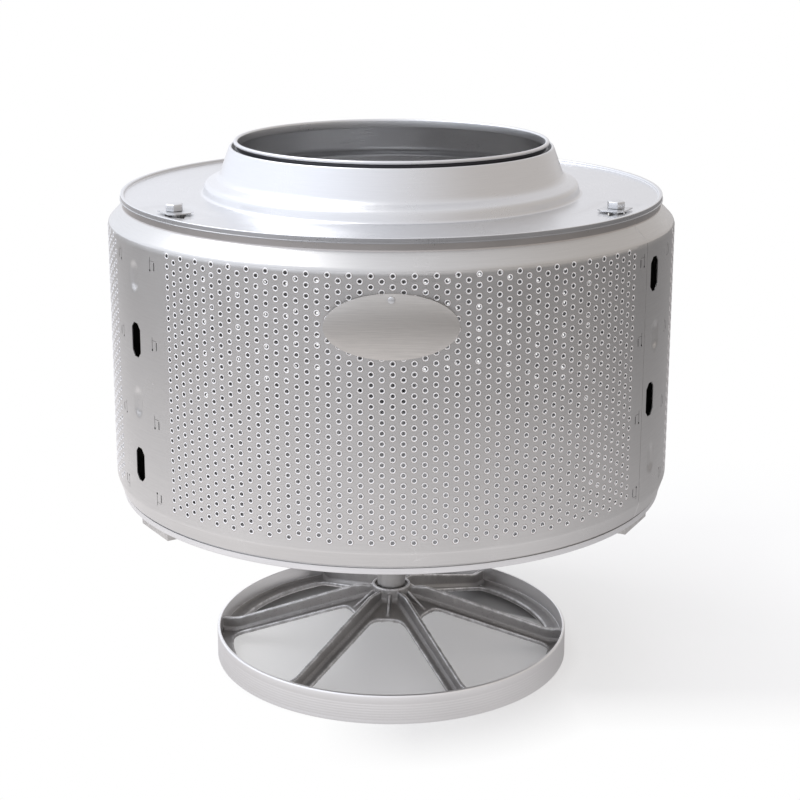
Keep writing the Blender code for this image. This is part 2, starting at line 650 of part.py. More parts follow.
def make_pulley(cast_metal):
    web_under = WEB_THICKNESS * math.sqrt(1 + WEB_SLOPE**2)
    web_outer = LEDGE_INNER + LEDGE_WIDTH / 4
    web_inner = (SPLINE_RADIUS + HUB_RADIUS) / 2

    def web_height(radius):
        return LEDGE_UPPER + WEB_SLOPE * (LEDGE_INNER - radius)

    web = [
        (web_inner, web_height(web_inner)),
        (web_outer, web_height(web_outer)),
        (web_outer, web_height(web_outer) - web_under),
        (web_inner, web_height(web_inner) - web_under),
    ]
    pulley = turn_profile("drive_pulley", web, PARTS, cast_metal, closed=True)

    windows = new_collection("pulley_windows", GUIDES)
    half_step = math.pi / SPOKE_COUNT
    # A window's sides run parallel to the middle lines of its two spokes
    side_offset = SPOKE_WIDTH / 2 / math.sin(half_step)
    outer_radius = LEDGE_INNER + EDGE_CHAMFER / 2
    inner_half = (WINDOW_INNER_RADIUS - side_offset) * math.tan(half_step)
    corner_angle = half_step - math.asin(SPOKE_WIDTH / 2 / outer_radius)
    outline = [(side, WINDOW_INNER_RADIUS, WINDOW_INNER_ROUND) for side in (-inner_half, inner_half)]
    steps = 6
    for step in range(steps + 1):
        angle = corner_angle * (1 - 2 * step / steps)
        corner = WINDOW_OUTER_ROUND if step in (0, steps) else 0
        outline.append((outer_radius * math.sin(angle), outer_radius * math.cos(angle), corner))
    outline = [(x, -y) for x, y in rounded_path(outline, closed=True)]
    for index in range(SPOKE_COUNT):
        azimuth = FIRST_SPOKE + (index + 0.5) * 360.0 / SPOKE_COUNT
        cutter = slab(f"window_{index}", outline, 0, HUB_TOP + OVERSHOOT, windows)
        cutter.data.transform(direction(azimuth))
    boolean(pulley, "DIFFERENCE", windows)

    castings = new_collection("pulley_castings", GUIDES)
    rim = [
        (RIM_INNER, RIM_HEIGHT),
        (PULLEY_RADIUS, RIM_HEIGHT),
        (PULLEY_RADIUS, 0),
        (RIM_INNER, 0),
        (RIM_INNER, LEDGE_BASE),
        (LEDGE_INNER, LEDGE_BASE),
        (LEDGE_INNER, LEDGE_UPPER),
        (RIM_INNER - LEDGE_FILLET / 2, LEDGE_UPPER + LEDGE_FILLET / 2),
        (RIM_INNER, LEDGE_UPPER + LEDGE_FILLET),
    ]
    turn_profile("pulley_rim", rim, castings, closed=True)
    recess_floor = HUB_TOP - HUB_RECESS_DEPTH
    bore = SPLINE_RADIUS + CLEARANCE
    hub = [
        (bore, recess_floor),
        (HUB_RECESS_RADIUS, recess_floor),
        (HUB_RECESS_RADIUS, HUB_TOP),
        (HUB_RADIUS - EDGE_CHAMFER, HUB_TOP),
        (HUB_RADIUS, HUB_TOP - EDGE_CHAMFER),
        (HUB_RADIUS, WEB_TOP_AT_HUB + EDGE_CHAMFER),
        (HUB_BASE_RADIUS, WEB_TOP_AT_HUB - WEB_BELOW_HUB / 2),
        (HUB_BASE_RADIUS, HUB_BASE + EDGE_CHAMFER),
        (HUB_BASE_RADIUS - EDGE_CHAMFER, HUB_BASE),
        (bore, HUB_BASE),
    ]
    turn_profile("pulley_hub", hub, castings, closed=True, facets=SHAFT_FACETS)

    rib_start = HUB_RADIUS - EDGE_CHAMFER
    rib_knee = HUB_RADIUS + RIB_LEVEL_LENGTH
    rib_top = HUB_TOP - RIB_BELOW_HUB
    rib_end = RIM_INNER + RIM_WALL / 2
    sunk = WEB_THICKNESS / 2
    rib_view = rounded_path(
        [
            (rib_start, rib_top, 0),
            (rib_knee, rib_top, 0.010),
            (RIM_INNER - RIB_BEND, RIB_OUTER_TOP, 0.030),
            (rib_end, RIB_OUTER_TOP, 0),
            (rib_end, LEDGE_BASE + sunk, 0),
            (LEDGE_INNER, LEDGE_BASE + sunk, 0),
            (rib_start, web_height(rib_start) - sunk, 0),
        ],
        closed=True,
    )
    weblet_end = WINDOW_INNER_RADIUS - EDGE_CHAMFER
    weblet_view = [
        (rib_start, rib_top - EDGE_CHAMFER),
        (HUB_RADIUS + WEBLET_HEIGHT, rib_top - EDGE_CHAMFER),
        (weblet_end, web_height(weblet_end) + EDGE_CHAMFER / 2),
        (weblet_end, web_height(weblet_end) - sunk),
        (rib_start, web_height(rib_start) - sunk),
    ]
    for index in range(SPOKE_COUNT):
        azimuth = FIRST_SPOKE + index * 360.0 / SPOKE_COUNT
        upright_slab(f"spoke_rib_{index}", rib_view, RIB_WIDTH, azimuth, castings)
        between = azimuth + 180.0 / SPOKE_COUNT
        upright_slab(f"weblet_{index}", weblet_view, WEBLET_WIDTH, between, castings)
    boolean(pulley, "UNION", castings)


def make_tie_bolt(index, side, bolt_steel):
    place = on_drum(lifter_azimuth(index), BOLT_CIRCLE)
    overlap = BOLT_HEAD_HEIGHT / 2
    shank = [(0, HEAD_BOTTOM + overlap), (BOLT_RADIUS, HEAD_BOTTOM + overlap)]
    shank += [(BOLT_RADIUS, ARM_BOTTOM + BOLT_END_COVER), (0, ARM_BOTTOM + BOLT_END_COVER)]
    bolt = turn_profile("tie_bolt_" + side, shank, PARTS, bolt_steel, facets=SMALL_FACETS)
    bolt.matrix_world = place
    head = cylinder(
        f"bolt_head_{side}",
        BOLT_HEAD_FLATS / math.sqrt(3),
        HEAD_BOTTOM,
        HEAD_BOTTOM + BOLT_HEAD_HEIGHT,
        GUIDES,
        facets=6,
        place=place,
    )
    boolean(bolt, "UNION", head)

    length, width = LOCK_PLATE_LENGTH / 2, LOCK_PLATE_WIDTH / 2
    cut = [(length - LOCK_PLATE_CORNER, width), (length, width - LOCK_PLATE_CORNER)]
    outline = cut + [(x, -y) for x, y in reversed(cut)]
    outline += [(-x, -y) for x, y in cut] + [(-x, y) for x, y in reversed(cut)]
    plate = slab(
        "lock_plate_" + side,
        outline,
        LOCK_PLATE_BOTTOM,
        LOCK_PLATE_BOTTOM + LOCK_PLATE_THICKNESS,
        PARTS,
        bolt_steel,
    )
    plate.matrix_world = place
    hole = cylinder(
        f"lock_plate_hole_{side}",
        BOLT_RADIUS + CLEARANCE,
        LOCK_PLATE_BOTTOM - OVERSHOOT,
        LOCK_PLATE_BOTTOM + OVERSHOOT,
        GUIDES,
        place=place,
    )
    boolean(plate, "DIFFERENCE", hole)


def make_badge(steel, bolt_steel):
    angles = [math.tau * step / BADGE_FACETS for step in range(BADGE_FACETS)]
    oval = [(BADGE_WIDTH / 2 * math.cos(a), BADGE_HEIGHT / 2 * math.sin(a)) for a in angles]
    badge = slab("badge_plate", oval, 0, BADGE_THICKNESS, PARTS, steel)
    stand = Matrix.Rotation(math.radians(90), 4, "X")
    badge.data.transform(on_drum(0, BADGE_BACK, BADGE_MIDDLE) @ stand)
    axis = on_drum(0, BADGE_BACK, RIVET_HEIGHT) @ stand
    hole = cylinder(
        "badge_hole", RIVET_RADIUS + CLEARANCE, -OVERSHOOT, OVERSHOOT, GUIDES, place=axis
    )
    boolean(badge, "DIFFERENCE", hole)
    head_base = BADGE_THICKNESS + CLEARANCE
    tail_base = -SHEET - 2 * CLEARANCE - DRUM_RADIUS * (1 - FACET_COSINE)
    rivet_path = rounded_path(
        [
            (0, head_base + RIVET_HEAD_HEIGHT, 0),
            (RIVET_HEAD_RADIUS, head_base + RIVET_HEAD_HEIGHT, RIVET_HEAD_HEIGHT * 0.9),
            (RIVET_HEAD_RADIUS, head_base, 0),
            (RIVET_RADIUS, head_base, 0),
            (RIVET_RADIUS, tail_base, 0),
            (RIVET_TAIL_RADIUS, tail_base, 0),
            (RIVET_TAIL_RADIUS, tail_base - RIVET_TAIL_LENGTH, RIVET_TAIL_RADIUS / 2),
            (0, tail_base - RIVET_TAIL_LENGTH, 0),
        ]
    )
    rivet = turn_profile("badge_rivet", rivet_path, PARTS, bolt_steel, facets=SMALL_FACETS // 2)
    rivet.matrix_world = axis


clear_scene()
PARTS = new_collection("fire_pit")
GUIDES = new_collection("cutters")

stainless = new_material("stainless_sheet", (0.62, 0.62, 0.63), 0.34, 1.0)
plate_steel = new_material("plate_steel", (0.70, 0.70, 0.72), 0.32, 1.0)
cast_aluminium = new_material("cast_aluminium", (0.42, 0.42, 0.43), 0.5, 0.9)
zinc_steel = new_material("zinc_steel", (0.66, 0.67, 0.70), 0.3, 1.0)
shaft_steel = new_material("shaft_steel", (0.55, 0.55, 0.57), 0.28, 1.0)
sleeve_bronze = new_material("sleeve_bronze", (0.60, 0.42, 0.22), 0.35, 1.0)

make_shell(stainless)
make_front_plate(plate_steel)
make_rear_plate(plate_steel)
for number, place_name in enumerate(LIFTER_NAMES):
    make_lifter(number, place_name, stainless)
    make_tie_bolt(number, place_name, zinc_steel)
make_spider(cast_aluminium)
make_shaft(shaft_steel, sleeve_bronze, zinc_steel)
make_pulley(cast_aluminium)
make_badge(plate_steel, zinc_steel)

# The collections join the scene last, so that no outline above waits for the Booleans
for collection in (PARTS, GUIDES):
    bpy.context.scene.collection.children.link(collection)
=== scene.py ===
# Looks of the fire pit: a washing-machine drum that stands, mouth up, on its own drive pulley.
# Sizes in the dictionaries are millimetres unless a note says otherwise.
import math

import bmesh
import bpy
import numpy as np
from mathutils import Matrix, Vector


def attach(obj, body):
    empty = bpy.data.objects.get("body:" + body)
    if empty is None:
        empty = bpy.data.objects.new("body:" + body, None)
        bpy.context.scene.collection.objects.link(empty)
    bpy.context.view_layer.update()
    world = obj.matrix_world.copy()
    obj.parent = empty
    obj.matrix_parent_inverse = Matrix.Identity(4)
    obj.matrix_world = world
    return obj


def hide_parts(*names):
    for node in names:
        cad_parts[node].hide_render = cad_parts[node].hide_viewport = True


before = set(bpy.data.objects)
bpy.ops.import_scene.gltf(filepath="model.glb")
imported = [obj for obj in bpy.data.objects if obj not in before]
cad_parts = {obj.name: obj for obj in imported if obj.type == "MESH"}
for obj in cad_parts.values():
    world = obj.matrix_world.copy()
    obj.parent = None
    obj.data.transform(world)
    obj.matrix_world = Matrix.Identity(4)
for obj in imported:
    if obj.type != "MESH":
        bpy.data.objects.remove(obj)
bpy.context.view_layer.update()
mm = 0.001

drum = {
    "radius": 239.75,
    "sheet": 0.8,  # thickness
    "sides": 288,  # of what is turned
    "wallTop": 396.3,
    "wallEdge": 398.3,  # upper border of the rolled sheet, on the shoulder's arc
    "shoulderRound": 6.0,
    "wallBottom": 183.79,
    "neckFoot": 411.3,  # height where the upper shoulder meets its neck
    "topNeck": 227.5,  # radius of the shell's upper end
    "bottomNeck": 233.6,  # radius of its lower end
    "crest": 421.3,  # top of the hem of the front plate
    "ring": 418.7,  # height of the front plate's flat ring
    "foot": 163.0,  # lower edge of the hem of the rear plate
    "firstLifter": -57.8,  # degrees from the front, positive to the right
    "names": ("left", "right", "rear"),
    "seam": 57.0,  # degrees, the lap of the rolled sheet
}


# Helpers for modelling
def deselectAll():
    if bpy.context.object is not None and bpy.context.object.mode != "OBJECT":
        bpy.ops.object.mode_set(mode="OBJECT")
    bpy.ops.object.select_all(action="DESELECT")


def pick(piece):
    deselectAll()
    piece.select_set(True)
    bpy.context.view_layer.objects.active = piece


def named(name):
    # Names the object that was just added
    piece = bpy.context.object
    piece.name = piece.data.name = name
    return piece


def startEdit(piece, kind="VERT", action="SELECT"):
    pick(piece)
    bpy.ops.object.mode_set(mode="EDIT")
    bpy.ops.mesh.select_mode(type=kind)
    bpy.ops.mesh.select_all(action=action)


def endEdit():
    bpy.ops.object.mode_set(mode="OBJECT")


def selectWhere(piece, test, kind):
    # Tests each edge by its middle, or each face by its normal
    bpy.ops.mesh.select_mode(type=kind)
    mesh = bmesh.from_edit_mesh(piece.data)
    if kind == "EDGE":
        for edge in mesh.edges:
            edge.select_set(test((edge.verts[0].co + edge.verts[1].co) / 2))
    else:
        for face in mesh.faces:
            face.select_set(test(face.normal))
    mesh.select_flush_mode()
    bmesh.update_edit_mesh(piece.data)


def faceOutward():
    bpy.ops.mesh.select_all(action="SELECT")
    bpy.ops.mesh.normals_make_consistent(inside=False)


def drawRings(path):
    # Extrudes the selected ring through (radius, height) points, the first of which is its own
    for (radius, height), (newRadius, newHeight) in zip(path, path[1:]):
        bpy.ops.mesh.extrude_edges_move(TRANSFORM_OT_translate={"value": (0, 0, (newHeight - height) * mm)})
        scale = max(newRadius, 0.0) / radius
        bpy.ops.transform.resize(value=(scale, scale, 1), center_override=(0, 0, newHeight * mm))
        if newRadius <= 0:
            bpy.ops.mesh.merge(type="CENTER")
            break


def applied(piece, kind, **settings):
    step = piece.modifiers.new("step", kind)
    for key, value in settings.items():
        setattr(step, key, value)
    pick(piece)
    bpy.ops.object.modifier_apply(modifier=step.name)
    return piece


def bevelled(piece, width, angle):
    # Breaks the edges that turn by more than an angle in degrees
    turn = math.radians(angle)
    return applied(piece, "BEVEL", width=width * mm, segments=2, limit_method="ANGLE", angle_limit=turn)


def thickened(piece, wall):
    return applied(piece, "SOLIDIFY", thickness=wall * mm, offset=-1, use_even_offset=True)


def repeated(piece, count, step):
    # Copies side by side, joined where they touch
    return applied(
        piece, "ARRAY", count=count, use_relative_offset=False, use_constant_offset=True,
        constant_offset_displace=step, use_merge_vertices=True, merge_threshold=0.00001,
    )


def smoothed(piece, angle=30):
    pick(piece)
    bpy.ops.object.shade_smooth_by_angle(angle=math.radians(angle))
    return piece


def moved(piece, x, y, z=0.0):
    piece.data.transform(Matrix.Translation((x * mm, y * mm, z * mm)))
    return piece


def eased(share):
    # A smooth step from 0 to 1
    return share * share * (3 - 2 * share)


def settle(piece):
    # Puts the object's place into its mesh
    pick(piece)
    bpy.ops.object.transform_apply(location=True, rotation=True, scale=True)
    return piece


def joined(name, pieces):
    deselectAll()
    for piece in pieces:
        piece.select_set(True)
    bpy.context.view_layer.objects.active = pieces[0]
    bpy.ops.object.join()
    return named(name)


def copied(piece, name):
    twin = piece.copy()
    twin.data = piece.data.copy()
    twin.name = twin.data.name = name
    bpy.context.scene.collection.objects.link(twin)
    return twin


def roundedProfile(corners, step=11.0):
    # Rounds (x, y, fillet) corners with arcs of at most step degrees a chord
    path = []
    for index, (x, y, fillet) in enumerate(corners):
        if fillet <= 0 or index in (0, len(corners) - 1):
            path.append((x, y))
            continue
        before, after = corners[index - 1], corners[index + 1]
        back = Vector((before[0] - x, before[1] - y))
        ahead = Vector((after[0] - x, after[1] - y))
        half = back.angle(ahead) / 2
        reach = min(fillet / math.tan(half), 0.48 * back.length, 0.48 * ahead.length)
        radius = reach * math.tan(half)
        middle = back.normalized() + ahead.normalized()
        centre = Vector((x, y)) + middle.normalized() * radius / math.sin(half)
        first = Vector((x, y)) + back.normalized() * reach - centre
        last = Vector((x, y)) + ahead.normalized() * reach - centre
        start = math.atan2(first.y, first.x)
        sweep = (math.atan2(last.y, last.x) - start + math.pi) % math.tau - math.pi
        chords = max(1, math.ceil(abs(math.degrees(sweep)) / step))
        for chord in range(chords + 1):
            angle = start + sweep * chord / chords
            path.append((centre.x + radius * math.cos(angle), centre.y + radius * math.sin(angle)))
    return path


def arcPath(centre, radius, start, end, step=11.0):
    chords = max(1, math.ceil(abs(end - start) / step))
    angles = [math.radians(start + (end - start) * chord / chords) for chord in range(chords + 1)]
    return [(centre[0] + radius * math.cos(a), centre[1] + radius * math.sin(a)) for a in angles]


def turned(name, profile, sides=drum["sides"], wall=0.0, closed=False):
    # Draws a ring out along a (radius, height) profile that runs down the outer side
    deselectAll()
    radius, height = profile[0]
    bpy.ops.mesh.primitive_circle_add(vertices=sides, radius=radius * mm, location=(0, 0, height * mm))
    piece = settle(named(name))
    startEdit(piece, "EDGE")
    drawRings(list(profile) + ([profile[0]] if closed else []))
    bpy.ops.mesh.select_all(action="SELECT")
    bpy.ops.mesh.remove_doubles(threshold=0.000002)
    if closed:
        faceOutward()
    endEdit()
    if not closed:
        (r0, z0), (r1, z1) = profile[0], profile[1]
        outward = Vector((z0 - z1, r1 - r0))
        face = piece.data.polygons[0]
        level = Vector((face.center.x, face.center.y))
        across = Vector((face.normal.x, face.normal.y)).dot(level.normalized())
        if across * outward.x + face.normal.z * outward.y < 0:
            piece.data.flip_normals()
    if wall:
        thickened(piece, wall)
    return smoothed(piece)


def outlined(name, outline, low, high, bevel=0.0):
    # A flat outline in millimetres, filled and raised between two heights
    deselectAll()
    count = len(outline)
    bpy.ops.mesh.primitive_circle_add(vertices=count, radius=mm, fill_type="NGON", location=(0, 0, 0))
    piece = named(name)
    area = sum(a[0] * b[1] - b[0] * a[1] for a, b in zip(outline, outline[1:] + outline[:1]))
    ring = outline if area > 0 else outline[::-1]
    turn = [math.atan2(v.co.y, v.co.x) for v in piece.data.vertices]
    step = ((turn[1] - turn[0] + math.pi) % math.tau - math.pi) > 0
    for vert, (x, y) in zip(piece.data.vertices, ring if step else ring[::-1]):
        vert.co = (x * mm, y * mm, low * mm)
    startEdit(piece, "FACE")
    bpy.ops.mesh.extrude_region_move(TRANSFORM_OT_translate={"value": (0, 0, (high - low) * mm)})
    faceOutward()
    endEdit()
    return bevelled(piece, bevel, 50) if bevel else piece


def block(name, size, place):
    deselectAll()
    bpy.ops.mesh.primitive_cube_add(size=1, location=[v * mm for v in place], scale=[v * mm for v in size])
    return settle(named(name))


def rod(name, radius, low, high, sides, place=(0, 0)):
    deselectAll()
    middle = (place[0] * mm, place[1] * mm, (low + high) / 2 * mm)
    tall = (high - low) * mm
    bpy.ops.mesh.primitive_cylinder_add(vertices=sides, radius=radius * mm, depth=tall, location=middle)
    return settle(named(name))


def cutBy(piece, cutter):
    applied(piece, "BOOLEAN", operation="DIFFERENCE", object=cutter, solver="EXACT", use_self=False)
    bpy.data.objects.remove(cutter, do_unlink=True)
    return piece


def facing(azimuth):
    # Turns the drum's front, -Y, to an azimuth in degrees, positive to the right
    return Matrix.Rotation(math.radians(azimuth), 4, "Z")


def onDrum(azimuth, radius, height=0.0):
    return facing(azimuth) @ Matrix.Translation((0, -radius * mm, height * mm))


def lifterAzimuth(index):
    return drum["firstLifter"] + 120.0 * index


def rolled(piece, middle):
    # Wraps a flat sheet, x along the wall, y up and z outward, round the drum
    flat = np.empty(len(piece.data.vertices) * 3)
    piece.data.vertices.foreach_get("co", flat)
    x, y, depth = flat.reshape(-1, 3).T
    turn = x / (drum["radius"] * mm) + math.radians(middle)
    over = np.maximum(y - drum["wallTop"] * mm, 0)
    bend = drum["shoulderRound"] * mm
    reach = drum["radius"] * mm + depth - (bend - np.sqrt(bend * bend - over * over))
    around = np.stack([reach * np.sin(turn), -reach * np.cos(turn), y], 1)
    piece.data.vertices.foreach_set("co", around.ravel())
    piece.data.update()
    return piece


def cadCopy(node, name, bevel=0.0):
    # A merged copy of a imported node, its edges broken
    piece = copied(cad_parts[node], name)
    piece.parent = None
    startEdit(piece)
    bpy.ops.mesh.remove_doubles(threshold=0.000005)
    bpy.ops.mesh.tris_convert_to_quads(face_threshold=math.radians(2), shape_threshold=math.radians(2))
    endEdit()
    if bevel:
        bevelled(piece, bevel, 40)
    return smoothed(piece, 35)


def markLipsAndShade(piece, tone):
    # Stores a mark for each face: 1 where a tool burnished it, and down to -1 where its colour is darkened: a
    # darker ring round each hole's lip, and painted shade in the groove under the curl, on the hem and on the
    # neck under it
    mark = piece.data.attributes.new("pressed", "FLOAT", "FACE")
    mark.data.foreach_set("value", [tone(face) for face in piece.data.polygons])


def dressed(piece, finish, node):
    piece.data.materials.clear()
    piece.data.materials.append(materials[finish])
    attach(piece, "root")
    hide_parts(node)
    return piece


# Shader node groups
class Nodes:
    # Adds and links nodes in one tree
    def __init__(self, tree):
        self.tree = tree

    def add(self, kind, settings=None, **inputs):
        node = self.tree.nodes.new(kind)
        for key, value in (settings or {}).items():
            setattr(node, key, value)
        for key, value in inputs.items():
            self.put(node, key.replace("_", " "), value)
        return node

    def put(self, node, key, value):
        socket = node.inputs[int(key[1:])] if key[0] == "n" and key[1:].isdigit() else node.inputs[key]
        if isinstance(value, bpy.types.NodeSocket):
            self.tree.links.new(value, socket)
        else:
            socket.default_value = value

    def math(self, operation, first, *others):
        # Works along the values from the first one on
        for value in others or (None,):
            node = self.add("ShaderNodeMath", {"operation": operation}, n0=first)
            if value is not None:
                self.put(node, "n1", value)
            first = node.outputs[0]
        return first

    def times(self, *values):
        return self.math("MULTIPLY", *values)

    def plus(self, *values):
        return self.math("ADD", *values)

    def minus(self, *values):
        return self.math("SUBTRACT", *values)

    def most(self, *values):
        return self.math("MAXIMUM", *values)

    def spread(self, value, low, high, newLow=0.0, newHigh=1.0):
        node = self.add("ShaderNodeMapRange", {"clamp": True}, Value=value, From_Min=low, From_Max=high)
        self.put(node, "To Min", newLow)
        self.put(node, "To Max", newHigh)
        return node.outputs["Result"]

    def noise(self, vector, scale, detail=2.0, roughness=0.5):
        inputs = {"Scale": scale, "Detail": detail, "Roughness": roughness}
        return self.add("ShaderNodeTexNoise", Vector=vector, **inputs).outputs["Fac"]

    def place(self):
        return self.add("ShaderNodeTexCoord").outputs["Object"]

    def split(self, vector):
        return self.add("ShaderNodeSeparateXYZ", Vector=vector).outputs

    def merged(self, x, y, z):
        return self.add("ShaderNodeCombineXYZ", X=x, Y=y, Z=z).outputs[0]


def newGroup(name, inputs, outputs):
    tree = bpy.data.node_groups.new(name, "ShaderNodeTree")
    for label, value in inputs.items():
        socket = tree.interface.new_socket(name=label, in_out="INPUT", socket_type="NodeSocketFloat")
        socket.default_value = value
    for label in outputs:
        tree.interface.new_socket(name=label, in_out="OUTPUT", socket_type="NodeSocketFloat")
    build = Nodes(tree)
    return tree, build, build.add("NodeGroupInput").outputs, build.add("NodeGroupOutput")


def buildTurningLines():
    # Fine lines round the drum's axis, as spinning and rolling leave them
    inputs = {"Line Density": 900.0, "Streak Length": 6.0, "Band Density": 60.0, "Band Length": 0.8}
    tree, build, given, out = newGroup("turningLines", inputs, ["Lines", "Bands"])
    place = build.split(build.place())
    square = build.plus(build.times(place["X"], place["X"]), build.times(place["Y"], place["Y"]))
    radius = build.math("SQRT", square)
    around = build.math("ARCTAN2", place["X"], place["Y"])
    dense, streak = given["Line Density"], given["Streak Length"]
    stretched = build.times(around, streak)
    run = build.merged(stretched, build.times(radius, dense), build.times(place["Z"], dense))
    build.put(out, "Lines", build.spread(build.noise(run, 1.0, 3.0, 0.6), 0.3, 0.7))
    dense, stretched = given["Band Density"], build.times(around, given["Band Length"])
    wide = build.merged(stretched, build.times(radius, dense), build.times(place["Z"], dense))
    build.put(out, "Bands", build.spread(build.noise(wide, 1.0), 0.3, 0.7))
    return tree


def buildStraightBrush():
    # Straight brushing along X
    inputs = {"Line Density": 2500.0, "Streak Length": 60.0}
    tree, build, given, out = newGroup("straightBrush", inputs, ["Lines"])
    place = build.split(build.place())
    streak, dense = given["Streak Length"], build.times(place["Z"], given["Line Density"])
    run = build.merged(build.times(place["X"], streak), build.times(place["Y"], streak), dense)
    build.put(out, "Lines", build.spread(build.noise(run, 1.0, 3.0, 0.65), 0.3, 0.7))
    return tree


def buildHandling():
    # Smudges, thin scratches and a slow change of tone
    inputs = {"Tone Scale": 5.0, "Smudge Scale": 14.0}
    inputs.update({"Scratch Scale": 40.0, "Scratch Width": 0.012, "Patch Scale": 22.0})
    tree, build, given, out = newGroup("handling", inputs, ["Tone", "Smudge", "Scratches"])
    where = build.place()
    build.put(out, "Tone", build.noise(where, given["Tone Scale"], 2.0))
    build.put(out, "Smudge", build.spread(build.noise(where, given["Smudge Scale"], 4.0, 0.6), 0.35, 0.7))
    found = None
    for turn, stretch in (((0.4, 0.9, 0.3), (1.0, 18.0, 5.0)), ((1.3, 0.2, 1.1), (16.0, 1.0, 4.0))):
        turnedRound = build.add("ShaderNodeMapping")
        build.put(turnedRound, "Vector", where)
        build.put(turnedRound, "Rotation", turn)
        build.put(turnedRound, "Scale", stretch)
        field = build.noise(turnedRound.outputs[0], given["Scratch Scale"], 1.0)
        near = build.math("ABSOLUTE", build.minus(field, 0.5))
        line = build.spread(near, 0.0, given["Scratch Width"], 1.0, 0.0)
        patch = build.spread(build.noise(where, given["Patch Scale"], 1.0), 0.55, 0.68)
        line = build.times(line, patch)
        found = line if found is None else build.most(found, line)
    build.put(out, "Scratches", found)
    return tree


def buildCastSkin():
    # The grain of a sand-blasted pressure casting
    inputs = {"Grain Scale": 900.0, "Swell Scale": 90.0, "Mottle Scale": 30.0, "Speck Scale": 700.0}
    tree, build, given, out = newGroup("castSkin", inputs, ["Height", "Mottle", "Specks"])
    where = build.place()
    grain = build.noise(where, given["Grain Scale"], 3.0, 0.6)
    swell = build.noise(where, given["Swell Scale"], 2.0)
    build.put(out, "Height", build.plus(grain, build.times(swell, 1.5)))
    build.put(out, "Mottle", build.spread(build.noise(where, given["Mottle Scale"], 5.0, 0.65), 0.3, 0.7))
    build.put(out, "Specks", build.spread(build.noise(where, given["Speck Scale"], 1.0), 0.62, 0.72))
    return tree


def buildEdgeSheenAndWear():
    # Brightens convex edges as painted highlight and wear, broken up by noise
    tree, build, given, out = newGroup("edgeSheenAndWear", {"Reach": 0.06, "Patch Scale": 120.0}, ["Edges"])
    point = build.add("ShaderNodeNewGeometry").outputs["Pointiness"]
    where = build.place()
    rub = build.spread(point, 0.5, build.plus(0.5, given["Reach"]))
    patches = build.spread(build.noise(where, given["Patch Scale"], 3.0), 0.3, 0.6, 0.3, 1.0)
    build.put(out, "Edges", build.times(rub, patches))
    return tree


def buildLipAndShadeMarks():
    # Tells where a tool burnished the sheet, and where its colour is darkened: a darker line round the
    # burnished lips, and painted shade
    outputs = ["Lip", "Groove", "Roughness"]
    tree, build, given, out = newGroup("pressedMarks", {"Lip Roughness": 0.18}, outputs)
    pressed = build.add("ShaderNodeAttribute", {"attribute_name": "pressed"}).outputs["Fac"]
    lip = build.spread(pressed, 0.0, 1.0)
    build.put(out, "Lip", lip)
    build.put(out, "Groove", build.spread(pressed, -1.0, 0.0, 1.0, 0.0))
    build.put(out, "Roughness", build.times(lip, given["Lip Roughness"]))
    return tree


groups = {
    "lines": buildTurningLines(),
    "brush": buildStraightBrush(),
    "handling": buildHandling(),
    "cast": buildCastSkin(),
    "sheenAndWear": buildEdgeSheenAndWear(),
    "pressed": buildLipAndShadeMarks(),
}
print("node groups built")


# Materials
def newMaterial(name, metallic):
    material = bpy.data.materials.new(name)
    material.use_nodes = True
    build = Nodes(material.node_tree)
    shader = material.node_tree.nodes["Principled BSDF"]
    shader.inputs["Metallic"].default_value = metallic
    return material, build, shader


def addGroup(build, key, **inputs):
    node = build.add("ShaderNodeGroup", {"node_tree": groups[key]})
    for label, value in inputs.items():
        build.put(node, label.replace("_", " "), value)
    return node.outputs


def blendColours(build, share, first, second, kind="MIX"):
    node = build.add("ShaderNodeMix", {"data_type": "RGBA", "blend_type": kind})
    build.put(node, "n0", share)
    build.put(node, "n6", first if isinstance(first, bpy.types.NodeSocket) else (*first, 1.0))
    build.put(node, "n7", second if isinstance(second, bpy.types.NodeSocket) else (*second, 1.0))
    return node.outputs[2]


def bumpFrom(build, shader, height, strength, distance):
    bump = build.add("ShaderNodeBump")
    build.put(bump, "Height", height)
    build.put(bump, "Strength", strength)
    build.put(bump, "Distance", distance * mm)
    build.put(shader, "Normal", bump.outputs["Normal"])


scratches = {"share": 0.25, "colour": (0.9, 0.9, 0.9), "polish": 0.08, "depth": 0.6}


def makeSheetSteel(name, look):
    # Satin stainless sheet with lines round the drum
    material, build, shader = newMaterial(name, 1.0)
    lines = addGroup(build, "lines", Line_Density=look["lineDensity"], Streak_Length=look["streak"])
    marks = addGroup(build, "handling")
    lined = build.times(lines["Lines"], look["lineTone"])
    base = blendColours(build, lined, look["colour"], look["lineColour"])
    base = blendColours(build, build.times(marks["Tone"], look["toneShare"]), base, look["toneColour"])
    base = blendColours(build, build.times(marks["Scratches"], scratches["share"]), base, scratches["colour"])
    rough = build.plus(look["roughness"], build.times(lines["Lines"], look["lineRough"]))
    if "pressed" in look:
        lipAndShadeOut = addGroup(build, "pressed", Lip_Roughness=look["pressedRough"])
        base = blendColours(build, lipAndShadeOut["Lip"], base, look["pressed"])
        # Darkens the colour: a line round the lips, and painted shade
        base = blendColours(build, lipAndShadeOut["Groove"], base, look["darkLineAndShadeColour"])
        rough = build.plus(rough, lipAndShadeOut["Roughness"])
    build.put(shader, "Base Color", base)
    rough = build.plus(rough, build.times(marks["Smudge"], look["smudge"]))
    rough = build.minus(rough, build.times(marks["Scratches"], scratches["polish"]))
    build.put(shader, "Roughness", rough)
    height = build.plus(lines["Lines"], build.times(lines["Bands"], look["bandHeight"]))
    height = build.minus(height, build.times(marks["Scratches"], scratches["depth"]))
    bumpFrom(build, shader, height, look["bump"], look["depth"])
    return material


